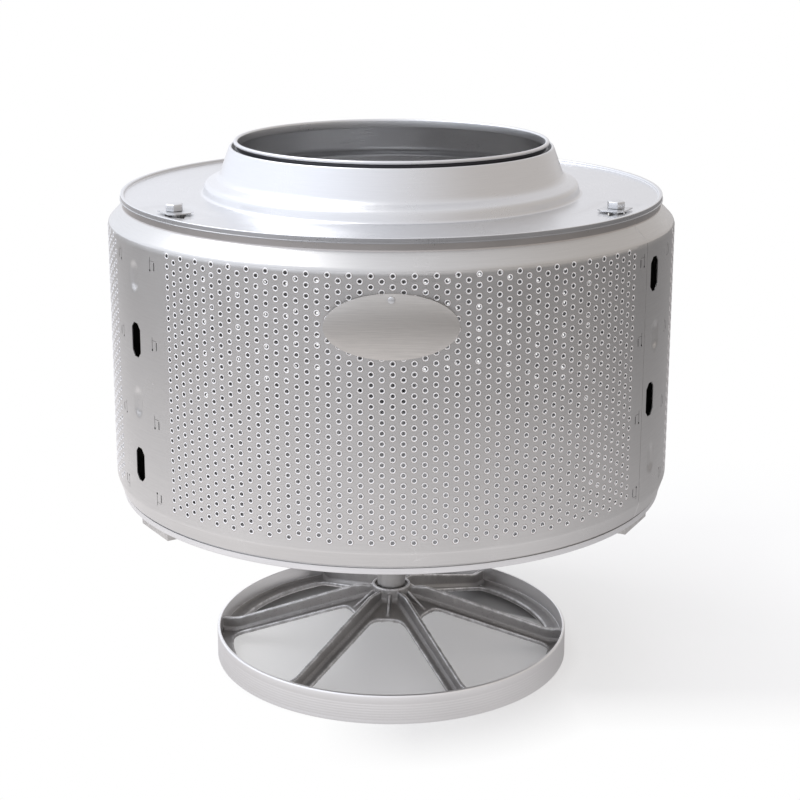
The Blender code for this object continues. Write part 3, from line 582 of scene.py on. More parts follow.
def makeCastAluminium(name, look):
    material, build, shader = newMaterial(name, look["metallic"])
    skin = addGroup(build, "cast", Grain_Scale=look["grain"])
    edgeSheen = addGroup(build, "sheenAndWear", Reach=look["sheenAndWearReach"])
    base = blendColours(build, skin["Mottle"], look["colour"], look["mottleColour"])
    base = blendColours(build, build.times(skin["Specks"], look["specks"]), base, look["speckColour"])
    # Convex edges lighter: painted highlight and wear
    base = blendColours(build, build.times(edgeSheen["Edges"], look["sheenAndWear"]), base, look["sheenAndWearColour"])
    build.put(shader, "Base Color", base)
    rough = build.plus(look["roughness"], build.times(skin["Mottle"], look["mottleRough"]))
    rough = build.minus(rough, build.times(edgeSheen["Edges"], look["sheenAndWearPolish"]))
    build.put(shader, "Roughness", rough)
    bumpFrom(build, shader, skin["Height"], look["bump"], look["depth"])
    return material


def makeBrushedPlate(name, look):
    material, build, shader = newMaterial(name, 1.0)
    brushed = addGroup(build, "brush", Line_Density=look["lineDensity"], Streak_Length=look["streak"])
    marks = addGroup(build, "handling", Smudge_Scale=look["smudgeScale"])
    base = blendColours(build, brushed["Lines"], look["colour"], look["lineColour"])
    base = blendColours(build, build.times(marks["Smudge"], look["smudge"]), base, look["smudgeColour"])
    build.put(shader, "Base Color", base)
    rough = build.plus(look["roughness"], build.times(brushed["Lines"], look["lineRough"]))
    build.put(shader, "Roughness", rough)
    bumpFrom(build, shader, brushed["Lines"], look["bump"], look["depth"])
    return material


rolledSheet = {
    "lineTone": 0.5, "toneShare": 0.4, "lineRough": 0.06, "smudge": 0.05,
    "lineDensity": 1400.0, "streak": 10.0, "bandHeight": 0.3, "bump": 0.25, "depth": 0.03,
}
spunSheet = {**rolledSheet, "lineDensity": 1600.0, "streak": 6.0, "bandHeight": 0.6, "bump": 0.3}
turnedBar = {
    "lineTone": 0.5, "toneShare": 0.5, "lineRough": 0.1, "smudge": 0.1,
    "lineDensity": 3000.0, "streak": 2.0, "bandHeight": 0.2, "bump": 0.3, "depth": 0.02,
}
casting = {
    "specks": 0.35, "grain": 900.0, "bump": 0.35, "depth": 0.10,
    "mottleRough": 0.08, "sheenAndWearPolish": 0.15,
}
finishes = {
    "shell": {
        **rolledSheet, "roughness": 0.29,
        "colour": (0.60, 0.595, 0.59), "lineColour": (0.52, 0.515, 0.51), "toneColour": (0.66, 0.655, 0.65),
        # Its darker second colour marks a narrow ring round each hole's lip, and is painted shade on the neck
        # under the hem
        "pressed": (0.90, 0.90, 0.91), "darkLineAndShadeColour": (0.38, 0.34, 0.32), "pressedRough": 0.18,
    },
    # Painted shade: near black for the shaded hollow side of the paddles
    "hollow": {
        **rolledSheet, "roughness": 0.6, "smudge": 0.1,
        "colour": (0.045, 0.042, 0.04), "lineColour": (0.035, 0.033, 0.03),
        "toneColour": (0.06, 0.056, 0.05),
    },
    "plate": {
        **spunSheet, "roughness": 0.26,
        "colour": (0.70, 0.705, 0.72), "lineColour": (0.64, 0.645, 0.66), "toneColour": (0.74, 0.745, 0.76),
        # Its darker second colour is painted shade: near black in the groove under the curl, and lighter on
        # the hem
        "pressed": (0.90, 0.90, 0.91), "darkLineAndShadeColour": (0.10, 0.10, 0.11), "pressedRough": 0.1,
    },
    "base": {
        **spunSheet, "roughness": 0.36, "lineRough": 0.08, "smudge": 0.08,
        "colour": (0.74, 0.74, 0.75), "lineColour": (0.68, 0.68, 0.69), "toneColour": (0.80, 0.80, 0.81),
    },
    "rim": {
        **turnedBar, "roughness": 0.34, "lineRough": 0.08, "smudge": 0.06,
        "colour": (0.90, 0.895, 0.90), "lineColour": (0.82, 0.815, 0.81), "toneColour": (0.92, 0.92, 0.92),
        "lineTone": 0.4, "toneShare": 0.3, "bump": 0.2, "depth": 0.015,
    },
    "shaft": {
        **turnedBar, "roughness": 0.34, "smudge": 0.06, "toneShare": 0.4,
        "colour": (0.50, 0.495, 0.49), "lineColour": (0.42, 0.415, 0.41), "toneColour": (0.56, 0.555, 0.55),
    },
    "bolt": {
        **turnedBar, "roughness": 0.28, "lineTone": 0.3, "lineDensity": 2000.0, "streak": 40.0,
        "colour": (0.66, 0.67, 0.70), "lineColour": (0.55, 0.56, 0.58), "toneColour": (0.72, 0.72, 0.70),
    },
    "bronze": {
        **turnedBar, "roughness": 0.34,
        "colour": (0.60, 0.42, 0.22), "lineColour": (0.50, 0.34, 0.17), "toneColour": (0.64, 0.48, 0.30),
    },
    "cast": {
        **casting, "metallic": 0.75, "roughness": 0.46,
        "colour": (0.30, 0.29, 0.285), "mottleColour": (0.38, 0.37, 0.365),
        "speckColour": (0.16, 0.155, 0.15),
        # Edge colour: painted highlight along the rib edges, and wear
        "sheenAndWear": 0.95, "sheenAndWearColour": (0.86, 0.86, 0.87), "sheenAndWearReach": 0.045,
    },
    "arm": {
        **casting, "metallic": 0.8, "roughness": 0.48,
        "colour": (0.40, 0.39, 0.38), "mottleColour": (0.46, 0.45, 0.44), "speckColour": (0.36, 0.35, 0.34),
        # Edge colour: painted highlight and wear
        "sheenAndWear": 0.5, "sheenAndWearColour": (0.72, 0.71, 0.70), "sheenAndWearReach": 0.05,
    },
    "badge": {
        "colour": (0.62, 0.60, 0.575), "lineColour": (0.50, 0.485, 0.465),
        "smudgeColour": (0.56, 0.54, 0.52),
        "roughness": 0.34, "lineRough": 0.12, "smudge": 0.3, "smudgeScale": 40.0,
        "lineDensity": 3200.0, "streak": 60.0, "bump": 0.35, "depth": 0.03,
    },
}
steels = ("shell", "plate", "rim", "shaft", "bolt", "bronze", "hollow", "base")
materials = {key: makeSheetSteel(key + "Steel", finishes[key]) for key in steels}
materials["cast"] = makeCastAluminium("castAluminium", finishes["cast"])
materials["arm"] = makeCastAluminium("castArm", finishes["arm"])
materials["badge"] = makeBrushedPlate("brushedBadge", finishes["badge"])
print("materials built")


# The perforated wall, shaped flat and then rolled round the drum
perforation = {
    "columns": 52,
    "rows": 26,
    "columnPitch": 8.0,
    "topRow": 395.4,
    "bottomRow": 190.5,
    "middle": 3.1,  # degrees, middle of the front panel
    "rings": [(2.85, 0.0), (2.5, 0.0), (2.05, 0.22), (1.5, -0.05), (1.45, -1.1)],  # radius and height
    "frameInset": 0.04,  # how far inside the outer ring its edges are looked for
    # A lip leans between these two cosines and starts this far below the drum's radius
    "lipLean": (0.5, 0.985),
    "lipReach": 0.00012,  # metres
    "ringReach": 0.0003,  # metres, the same for the darker ring round it
    "ringArea": 0.6e-6,  # square metres, the largest face of that ring
}
rowPitch = (perforation["topRow"] - perforation["bottomRow"]) / (perforation["rows"] - 1)


def placeOnFrame(piece, depth, halfWidth, halfHeight):
    # Moves the ring that was just extruded out to the tile's border
    mesh = bmesh.from_edit_mesh(piece.data)
    upper = [(1, 0), (1, 0.5), (1, 1), (0, 1), (-1, 1), (-1, 0.5)]
    border = upper + [(-x, -y) for x, y in upper]
    for vert in mesh.verts:
        if vert.select:
            x, y = border[round(math.degrees(math.atan2(vert.co.y, vert.co.x)) / 30) % 12]
            vert.co = (x * halfWidth, y * halfHeight, depth)
    bmesh.update_edit_mesh(piece.data)


def makeTile(centre):
    # One pressed hole and the square of sheet round it
    halfWidth, halfHeight = perforation["columnPitch"] / 2 * mm, rowPitch / 2 * mm
    rings = perforation["rings"]
    deselectAll()
    bpy.ops.mesh.primitive_circle_add(vertices=12, radius=rings[0][0] * mm, location=(0, 0, 0))
    tile = named("tile")
    startEdit(tile, "EDGE")
    drawRings(rings)
    bpy.ops.mesh.extrude_edges_move(TRANSFORM_OT_translate={"value": (0, 0, 0)})
    placeOnFrame(tile, -drum["sheet"] * mm, halfWidth, halfHeight)
    outer = (rings[0][0] * math.cos(math.radians(15)) - perforation["frameInset"]) * mm
    selectWhere(tile, lambda middle: abs(middle.z) < 1e-6 and middle.length > outer, "EDGE")
    bpy.ops.mesh.extrude_edges_move(TRANSFORM_OT_translate={"value": (0, 0, 0)})
    placeOnFrame(tile, 0.0, halfWidth, halfHeight)
    faceOutward()
    endEdit()
    moved(tile, 0, centre)
    front = max(tile.data.polygons, key=lambda face: (round(face.center.z, 5), face.center.y))
    if front.normal.z < 0:
        tile.data.flip_normals()
    return tile


def makeHalfTile(centre):
    # The plain half square at the end of a shifted column, front and back
    sides = []
    for depth in (0.0, -drum["sheet"]):
        deselectAll()
        bpy.ops.mesh.primitive_grid_add(x_subdivisions=2, y_subdivisions=2, size=1, location=(0, 0, 0))
        half = named("halfTile")
        half.data.transform(Matrix.Diagonal((perforation["columnPitch"] * mm, rowPitch / 2 * mm, 1, 1)))
        moved(half, 0, centre, depth)
        if depth < 0:
            half.data.flip_normals()
        sides.append(half)
    return joined("halfTile", sides)


def makeFlatPanel():
    # Two columns of holes, one of them half a pitch lower, and then the whole panel from them
    pitch, down = perforation["columnPitch"], (0, -rowPitch * mm, 0)
    top, bottom = perforation["topRow"], perforation["bottomRow"]
    full = repeated(makeTile(top), perforation["rows"], down)
    shifted = repeated(makeTile(top - rowPitch / 2), perforation["rows"] - 1, down)
    ends = [makeHalfTile(top + rowPitch / 4), makeHalfTile(bottom - rowPitch / 4)]
    shifted = moved(joined("shiftedColumn", [shifted] + ends), pitch, 0)
    panel = joined("flatPanel", [full, shifted])
    startEdit(panel)
    bpy.ops.mesh.remove_doubles(threshold=0.00001)
    endEdit()
    repeated(panel, perforation["columns"] // 2, (2 * pitch * mm, 0, 0))
    moved(panel, -(perforation["columns"] - 1) / 2 * pitch, 0)
    for vert in panel.data.vertices:
        if vert.co.y > (top + rowPitch / 2) * mm - 0.00001:
            vert.co.y = drum["wallEdge"] * mm
        elif vert.co.y < (bottom - rowPitch / 2) * mm + 0.00001:
            vert.co.y = drum["wallBottom"] * mm
    startEdit(panel, "EDGE", "DESELECT")
    bpy.ops.mesh.select_non_manifold(extend=False, use_wire=False, use_multi_face=False,
                                     use_non_contiguous=False, use_verts=False)
    bpy.ops.mesh.bridge_edge_loops()
    endEdit()
    return panel


def lipTone(face):
    # 1 on the raised lips of the holes, -1 on the narrow ring round each of them
    reach = math.hypot(face.center.x, face.center.y)
    out = (face.normal.x * face.center.x + face.normal.y * face.center.y) / reach
    steep, flat = perforation["lipLean"]
    if reach > drum["radius"] * mm - perforation["lipReach"] and steep < out < flat:
        return 1.0
    near = reach > drum["radius"] * mm - perforation["ringReach"]
    return -1.0 if near and out > flat and face.area < perforation["ringArea"] else 0.0


flatPanel = makeFlatPanel()
print("flat panel:", len(flatPanel.data.polygons), "faces")
for number, panelName in enumerate(("panelFront", "panelRight", "panelLeft")):
    panel = rolled(copied(flatPanel, panelName), perforation["middle"] + 120.0 * number)
    smoothed(panel, 50)
    markLipsAndShade(panel, lipTone)
    dressed(panel, "shell", "drum_shell")
bpy.data.objects.remove(flatPanel, do_unlink=True)
print("perforated panels rolled")


# The plain strips over the lifters
strip = {
    "cell": 2.2,
    "slot": (15.6, 28.0, 4.5, 6.6),  # width, height, tapered end, tip width
    "slotShift": {"left": 0.0, "right": -6.5, "rear": 0.0},
    "places": (371.3, 319.4, 267.4, 215.4),  # heights of slots and pressed hollows
    "slotRows": {"left": (1, 3), "right": (0, 2), "rear": (1, 3)},
    "hollow": (14.0, 27.0, 1.5),  # width, height and depth
    "hollowFlat": 0.62,  # share of the hollow that is flat
    "lap": (0.5, 1.1),  # half width and depth of the groove at the lap
    "tabHeights": (385.5, 321.8, 257.6, 193.2),
    "tabSide": 7.2,  # degrees from the lifter's middle
    # Width and height of each slit round a tab, and how far it lies outward and up from the tab's middle
    "slits": ((0.55, 10.5, -3.0, 0.0), (1.21, 6.5, 3.0, -1.6), (6.0, 0.275, 0.0, 2.6)),
    "relief": (1.0, -3.0, -5.0),  # radius of the round end, outward and up
}
panelHalf = perforation["columns"] / 2 * perforation["columnPitch"] / drum["radius"]  # radians
stripWidth = (math.radians(120) - 2 * panelHalf) * drum["radius"]


def makeStrip(index, side):
    middle = perforation["middle"] - 60.0 + 120.0 * index
    shift = math.radians(lifterAzimuth(index) - middle) * drum["radius"]  # lifter's middle on the strip
    tall = drum["wallEdge"] - drum["wallBottom"]
    deselectAll()
    across, up = round(stripWidth / strip["cell"]), round(tall / strip["cell"])
    bpy.ops.mesh.primitive_grid_add(x_subdivisions=across, y_subdivisions=up, size=1, location=(0, 0, 0))
    sheet = named("strip" + side.capitalize())
    sheet.data.transform(Matrix.Diagonal((stripWidth * mm, tall * mm, 1, 1)))
    moved(sheet, 0, drum["wallBottom"] + tall / 2)
    if side == "right":
        # The lap of the rolled sheet, a narrow groove
        lap = math.radians(drum["seam"] - middle) * drum["radius"] * mm
        halfWidth, deep = strip["lap"]
        for offset in (-halfWidth, 0.0, halfWidth):
            startEdit(sheet)
            bpy.ops.mesh.bisect(plane_co=(lap + offset * mm, 0, 0), plane_no=(1, 0, 0))
            endEdit()
        for vert in sheet.data.vertices:
            if abs(vert.co.x - lap) < 0.00002:
                vert.co.z -= deep * mm
    wide, high, deep = strip["hollow"]
    rows = strip["slotRows"][side]
    for height in [height for row, height in enumerate(strip["places"]) if row not in rows]:
        for vert in sheet.data.vertices:
            x, y = (vert.co.x / mm - shift) / wide * 2, (vert.co.y / mm - height) / high * 2
            edge = max(abs(x), abs(y) + 0.35 * abs(x)) - strip["hollowFlat"]
            vert.co.z -= deep * mm * eased(1 - min(1.0, max(0.0, edge / (1 - strip["hollowFlat"]))))
    thickened(sheet, drum["sheet"])
    width, height, point, tip = strip["slot"]
    outline = [(width / 2, height / 2 - point), (tip / 2, height / 2)]
    outline += [(-tip / 2, height / 2), (-width / 2, height / 2 - point)]
    outline += [(-x, -y) for x, y in outline]
    for row in rows:
        cutter = outlined("slotCutter", outline, -5, 5)
        cutBy(sheet, moved(cutter, shift + strip["slotShift"][side], strip["places"][row]))
    reach = math.radians(strip["tabSide"]) * drum["radius"]
    radius, reliefOut, reliefUp = strip["relief"]
    for tabHeight in strip["tabHeights"]:
        over = -1 if tabHeight == strip["tabHeights"][-1] else 1  # the lowest tab is upside down
        for edge in (-1, 1):
            x = shift + edge * reach
            for wide, high, out, rise in strip["slits"]:
                place = (x + edge * out, tabHeight + over * rise, 0)
                cutBy(sheet, block("slitCutter", (wide, high, 10), place))
            place = (x + edge * reliefOut, tabHeight + over * reliefUp)
            cutBy(sheet, rod("reliefCutter", radius, -5, 5, 10, place))
    rolled(sheet, middle)
    smoothed(sheet, 32)
    return dressed(sheet, "shell", "drum_shell")


for number, sideName in enumerate(drum["names"]):
    makeStrip(number, sideName)
print("plain strips made")


# The shoulders of the shell
shoulders = {
    "topSlope": 45.0,  # degrees from level
    "lowRound": 10.0,
    "neckRound": 2.0,
    "ledge": 236.1,
    "ledgeHeight": 170.2,
    "bottomSlope": 72.0,
    # The neck's darker colour is painted shade in the gap under the hem
    "neckShade": -0.5,  # how far the neck under the hem is darker than the shoulder
    "lapWidth": 0.5,
    "lapDepth": 0.4,
}


def addLap(piece):
    # Carries the lap of the sheet over a turned piece
    turn = math.radians(drum["seam"])
    across = Vector((math.cos(turn), math.sin(turn), 0))
    along = Vector((math.sin(turn), -math.cos(turn), 0))
    for offset in (-1, 0, 1):
        startEdit(piece)
        bpy.ops.mesh.bisect(plane_co=across * offset * shoulders["lapWidth"] * mm, plane_no=across)
        endEdit()
    for vert in piece.data.vertices:
        if abs(vert.co.dot(across)) < 0.00002 and vert.co.dot(along) > 0:
            vert.co -= along * shoulders["lapDepth"] * mm


def neckShade(face):
    # Painted shade on the neck under the hem: only the upper shoulder reaches in as far as the neck
    inside = math.hypot(face.center.x, face.center.y) < (drum["topNeck"] + 0.5) * mm
    return shoulders["neckShade"] if inside else 0.0


def makeShoulders():
    slope = math.radians(shoulders["topSlope"])
    corner = drum["neckFoot"] - (drum["radius"] - drum["topNeck"]) * math.tan(slope)
    # Radius, height and fillet of each corner, from the top down
    upper = roundedProfile(
        [
            (drum["topNeck"], drum["crest"] - 1.2, 0),
            (drum["topNeck"], drum["neckFoot"], shoulders["neckRound"]),
            (drum["radius"], corner, drum["shoulderRound"]),
            (drum["radius"], drum["wallTop"] - 5.0, 0),
        ],
        5,
    )
    bend, over = drum["shoulderRound"], drum["wallEdge"] - drum["wallTop"]
    border = (drum["radius"] - bend + math.sqrt(bend * bend - over * over), drum["wallEdge"])
    upper = [point for point in upper if point[1] > drum["wallEdge"] + 0.1] + [border]
    lean = math.radians(90 - shoulders["bottomSlope"])
    foot = shoulders["ledgeHeight"]
    lowCorner = foot + (drum["radius"] - shoulders["ledge"]) / math.tan(lean)
    lower = roundedProfile(
        [
            (drum["radius"], drum["wallBottom"], 0),
            (drum["radius"], lowCorner, shoulders["lowRound"]),
            (shoulders["ledge"] + 0.25, foot + 1.0, 3.0),
            (shoulders["ledge"], foot, 0.4),
            (drum["bottomNeck"], foot - 0.9, 0.5),
            (drum["bottomNeck"], drum["foot"] + 1.2, 0),
        ],
        5,
    )
    for name, profile in (("shoulderTop", upper), ("shoulderBottom", lower)):
        piece = turned(name, profile)
        addLap(piece)
        thickened(piece, drum["sheet"])
        smoothed(piece, 32)
        markLipsAndShade(piece, neckShade)
        dressed(piece, "shell", "drum_shell")


makeShoulders()
print("shoulders turned")


# The front plate with its collar
frontPlate = {
    "mouth": 130.1,  # radius inside the collar
    "curl": 1.75,  # outer radius of the curled rim's section
    "collarHeight": 44.4,  # above the ring
    "groove": 455.6,  # foot of the groove between the curl and the cone
    "coneTop": 5.9,  # outward from the collar's neck
    "coneCrest": 459.3,
    "coneFoot": (15.5, 14.2),  # outward from the neck and up from the ring
    "step": (27.7, 8.7),  # the same
    "stepFoot": 1.5,
    "hemPlay": 0.6,
    "hemHeight": 4.4,
    "bead": 0.55,  # how far the hem's lower edge stands out
    # The hem's darker colour is painted shade
    "hemShade": -0.26,  # how far the hem is darker than the ring
    "pocket": (28.0, 15.0, 8.0, 0.9),  # round each bolt: half length, half width, slope and depth
    "pocketIn": 3.0,  # how far the pocket's middle lies inside the bolts' circle
    "piercing": (7.0, 11.5, 27.0),  # behind and inside the bolt, outside it, pointed end
    "boltCircle": 203.2,
    "points": {"left": 1, "right": -1, "rear": 1},
}


def makeFrontPlate():
    sheet = drum["sheet"]
    neck = frontPlate["mouth"] + sheet
    curl = frontPlate["curl"] - sheet  # the drawn side is the inner one of the curl
    ring = drum["ring"]
    centre = (neck + curl, ring + frontPlate["collarHeight"] - frontPlate["curl"])
    groove, step = frontPlate["groove"], neck + frontPlate["step"][0]
    hemFoot = drum["crest"] - frontPlate["hemHeight"]
    hem = drum["topNeck"] + frontPlate["hemPlay"] + sheet
    channel = drum["topNeck"] - 2 * sheet - 0.3
    # Radius, height and fillet of each corner, from the curl out to the hem
    corners = [
        (neck, centre[1], 0),
        (neck, groove, 0.6),
        (neck + 1.8, groove, 0.6),
        (neck + frontPlate["coneTop"], frontPlate["coneCrest"], 1.6),
        (neck + frontPlate["coneFoot"][0], ring + frontPlate["coneFoot"][1], 9.0),
        (step, ring + frontPlate["step"][1], 6.0),
        (step + frontPlate["stepFoot"], ring, 3.0),
        (step + 8.0, ring, 0),
        *[(radius, ring, 0) for radius in np.arange(step + 11.0, channel - 7.0, 3.0)],
        (channel - 6.0, ring, 0),
        (channel, ring, 1.0),
        (channel, drum["crest"], 1.2),
        (hem, drum["crest"], 0.6),
        (hem, hemFoot + 0.9, 0),
        (hem + frontPlate["bead"], hemFoot + 0.6, 0),
        (hem + frontPlate["bead"], hemFoot, 0),
    ]
    curlPath = arcPath(centre, curl, -60, 180, 15)[:-1]
    plate = turned("frontPlate", curlPath + roundedProfile(corners, 8), wall=sheet)
    long, wide, slope, deep = frontPlate["pocket"]
    pocketRing = frontPlate["boltCircle"] - frontPlate["pocketIn"]
    for vert in plate.data.vertices:
        if abs(vert.co.z - ring * mm) > 0.0012:
            continue
        reach = math.hypot(vert.co.x, vert.co.y) / mm
        azimuth = math.degrees(math.atan2(vert.co.x, -vert.co.y))
        away = min(((azimuth - lifterAzimuth(index) + 180) % 360 - 180 for index in range(3)), key=abs)
        along, across = abs(math.radians(away)) * reach, abs(reach - pocketRing)
        edge = math.hypot(max(0.0, along - long), max(0.0, across - wide)) / slope
        vert.co.z -= deep * mm * eased(max(0.0, 1 - edge))
    behind, outside, tip = frontPlate["piercing"]
    for index, side in enumerate(drum["names"]):
        front = frontPlate["points"][side]
        shape = [(-behind, behind), (behind, behind), (tip, -0.4 * outside), (behind, -outside)]
        shape += [(-0.6 * behind, -0.6 * outside), (-behind, 0)]
        cutter = outlined("piercingCutter", [(front * x, y) for x, y in shape], -5, 5)
        cutter.data.transform(onDrum(lifterAzimuth(index), frontPlate["boltCircle"], ring))
        cutBy(plate, cutter)
    smoothed(plate, 30)

    def plateShade(face):
        # Painted shade: near black in the groove under the curl, and a little darker on the hem
        reach, height = math.hypot(face.center.x, face.center.y) / mm, face.center.z / mm
        across = neck - 0.1 < reach < neck + frontPlate["coneTop"] - 1.5
        if across and groove - 0.2 < height < centre[1] - 1.0:
            return -1.0
        return frontPlate["hemShade"] if reach > hem - 0.2 and height < drum["crest"] - 0.3 else 0.0

    markLipsAndShade(plate, plateShade)
    return dressed(plate, "plate", "front_plate")


makeFrontPlate()
print("front plate turned")


# The rear plate, the floor on which the fire burns
rearPlate = {
    "floor": 177.2,  # height of the outer ring
    "ringWidth": 41.0,
    "rise": 16.5,  # from there up to the middle
    "centre": 62.0,  # radius of the raised middle
    "corner": 3.0,
    "hemHeight": 5.0,
}


def makeRearPlate():
    sheet = drum["sheet"]
    hem = drum["bottomNeck"] + 0.3 + sheet
    wall = drum["bottomNeck"] - 2 * sheet - 0.3
    corners = [
        (hem, drum["foot"] + rearPlate["hemHeight"], 0),
        (hem, drum["foot"], 1.2),
        (wall, drum["foot"], 1.2),
        (wall, rearPlate["floor"], rearPlate["corner"]),
        (wall - rearPlate["ringWidth"], rearPlate["floor"], 8.0),
        (rearPlate["centre"], rearPlate["floor"] + rearPlate["rise"], 10.0),
        (0, rearPlate["floor"] + rearPlate["rise"], 0),
    ]
    plate = turned("rearPlate", roundedProfile(corners, 8), wall=sheet)
    return dressed(plate, "base", "rear_plate")


makeRearPlate()
print("rear plate turned")


# The drive pulley, the foot of the fire pit
pulley = {
    "radius": 157.0,
    "rimHeight": 25.5,
    "rimWall": 2.5,
    "grooves": 7,
    "groovePitch": 2.34,
    "grooveDepth": 0.2,
    "firstGroove": 2.2,  # lower edge of the lowest groove
    "ledgeWidth": 11.7,
    "ledgeBase": 5.0,
    "ledgeTop": 9.3,
    "hubTop": 60.4,
    "hubRadius": 17.2,
    "webDrop": 11.3,  # from the hub's top to the cone between the spokes
    "webWall": 3.5,  # thickness of that cone
    "spokes": 6,
    "firstSpoke": 25.0,  # degrees from the front, positive to the right
    "spokeWidth": 17.3,
    "windowInner": 39.7,
    "windowInnerRound": 12.0,
    "windowOuterRound": 9.0,
    "ribWidth": 3.2,
    "ribFoot": 6.0,  # width of a rib's foot
    "ribOuterTop": 21.3,
    "ribBend": 14.0,  # how far inside the rim the ribs turn level
    "ribLevel": 14.9,  # length of the level piece at the hub
    "ribDrop": 2.6,  # from the hub's top to the ribs
    "weblet": 2.2,  # thickness of the small webs between the ribs
    "bore": 10.4,
    "recess": (14.7, 3.5),  # radius and depth of the washer's seat
    "boss": (23.0, 38.0),  # radius and foot of the boss under the hub
    "voxel": 0.85,
    "keptFaces": 0.57,  # share of the faces that stays, so that the foot is under 200,000 triangles
}


def makeRim():
    radius, inner, top = pulley["radius"], pulley["radius"] - pulley["rimWall"], pulley["rimHeight"]
    path = [(inner, top - 0.35), (inner + 0.35, top), (inner + 1.0, top - 0.05), (radius - 0.6, top - 0.4)]
    path += [(radius - 0.15, top - 1.0), (radius, top - 1.8)]
    height = pulley["firstGroove"] + pulley["grooves"] * pulley["groovePitch"]
    deep = radius - pulley["grooveDepth"]
    for groove in range(pulley["grooves"]):
        low = height - pulley["groovePitch"]
        path += [(radius, height), (deep, (height + low) / 2 + 0.25), (deep, (height + low) / 2 - 0.25)]
        height = low
    path += [(radius, height), (radius, 0.4), (radius - 0.4, 0), (inner + 0.4, 0), (inner, 0.4)]
    rim = turned("pulleyRim", path, closed=True)
    return dressed(rim, "rim", "drive_pulley")


def standing(piece, azimuth):
    # Turns an outline drawn as (radius, height) up into the plane of an azimuth
    stand = Matrix.Rotation(math.radians(90), 4, "X")
    faceFront = Matrix.Rotation(math.radians(-90), 4, "Z")
    piece.data.transform(facing(azimuth) @ faceFront @ stand)
    return piece


def makeCastFoot():
    inner = pulley["radius"] - pulley["rimWall"]
    ledgeInner = inner - pulley["ledgeWidth"]
    webTop = pulley["hubTop"] - pulley["webDrop"]
    slope = (webTop - pulley["ledgeTop"]) / (ledgeInner - pulley["hubRadius"])
    under = pulley["webWall"] * math.sqrt(1 + slope * slope)

    def webHeight(radius):
        return pulley["ledgeTop"] + slope * (ledgeInner - radius)

    low, far = pulley["hubRadius"] - 3, ledgeInner + 3
    cone = [(low, webHeight(low)), (far, webHeight(far))]
    cone += [(radius, height - under) for radius, height in cone[::-1]]
    web = turned("castFoot", cone, sides=144, closed=True)
    halfStep = math.pi / pulley["spokes"]
    offset = pulley["spokeWidth"] / 2 / math.sin(halfStep)
    outer = ledgeInner + 0.5
    innerHalf = (pulley["windowInner"] - offset) * math.tan(halfStep)
    cornerAngle = halfStep - math.asin(pulley["spokeWidth"] / 2 / outer)
    shape = [(0, pulley["windowInner"], 0), (innerHalf, pulley["windowInner"], pulley["windowInnerRound"])]
    for step in range(9):
        angle = cornerAngle * (1 - step / 4)
        fillet = pulley["windowOuterRound"] if step in (0, 8) else 0
        shape.append((outer * math.sin(angle), outer * math.cos(angle), fillet))
    shape += [(-x, y, fillet) for x, y, fillet in shape[1::-1]]
    outline = [(x, -y) for x, y in roundedProfile(shape, 15)[:-1]]
    for index in range(pulley["spokes"]):
        cutter = outlined("windowCutter", outline, -5, 80)
        cutter.data.transform(facing(pulley["firstSpoke"] + (index + 0.5) * 60.0))
        cutBy(web, cutter)

    parts = [web]
    base, top, hubTop, hubRadius = (pulley[key] for key in ("ledgeBase", "ledgeTop", "hubTop", "hubRadius"))
    ledge = [
        (inner + 1.0, top + 3.2), (inner + 1.0, base), (ledgeInner, base), (ledgeInner, top),
        (inner - 2.4, top + 0.2), (inner - 0.7, top + 1.2), (inner, top + 3.2),
    ]
    parts.append(turned("castLedge", ledge, sides=192, closed=True))
    (seat, seatDepth), (boss, bossFoot) = pulley["recess"], pulley["boss"]
    hub = [
        (pulley["bore"], hubTop - seatDepth), (seat, hubTop - seatDepth), (seat, hubTop),
        (hubRadius, hubTop), (hubRadius, webTop + 2.0), (boss, webTop - 5.0), (boss, bossFoot),
        (pulley["bore"], bossFoot),
    ]
    parts.append(turned("castHub", hub, sides=96, closed=True))

    # Ribs, their wider feet and the small webs, all drawn as (radius, height)
    ribTop = hubTop - pulley["ribDrop"]
    start, knee = hubRadius - 1.5, hubRadius + pulley["ribLevel"]
    ribView = roundedProfile(
        [
            (start, ribTop, 0),
            (knee, ribTop, 10),
            (inner - pulley["ribBend"], pulley["ribOuterTop"], 30),
            (inner + 1.0, pulley["ribOuterTop"], 0),
            (inner + 1.0, base + 2, 0),
            (ledgeInner, base + 2, 0),
            (start, webHeight(start) - 2, 0),
        ],
        6,
    )
    footView = [
        (start, webHeight(start) + 1.6), (ledgeInner - 1, webHeight(ledgeInner) + 1.6),
        (inner + 1, top + 1.6), (inner + 1, base + 1), (ledgeInner, base + 1), (start, webHeight(start) - 2),
    ]
    window = pulley["windowInner"]
    webletView = [
        (start, ribTop - 1.5), (hubRadius + 2.0, ribTop - 1.5), (window - 3.0, webHeight(38) + 1.2),
        (window - 1.0, webHeight(39) - 1), (start, webHeight(start) - 2),
    ]
    for index in range(pulley["spokes"]):
        azimuth = pulley["firstSpoke"] + index * 60.0
        for view, wide, turn in (
            (ribView, pulley["ribWidth"], 0.0),
            (footView, pulley["ribFoot"], 0.0),
            (webletView, pulley["weblet"], 30.0),
        ):
            parts.append(standing(outlined("castRib", view, -wide / 2, wide / 2), azimuth + turn))
    foot = joined("castFoot", parts)
    applied(foot, "REMESH", mode="VOXEL", voxel_size=pulley["voxel"] * mm, adaptivity=0.0)
    applied(foot, "SMOOTH", factor=0.5, iterations=2)
    applied(foot, "DECIMATE", ratio=pulley["keptFaces"])
    pick(foot)
    bpy.ops.object.shade_smooth()
    print("cast foot:", len(foot.data.polygons), "faces")
    return dressed(foot, "cast", "drive_pulley")


makeRim()
makeCastFoot()
print("drive pulley made")


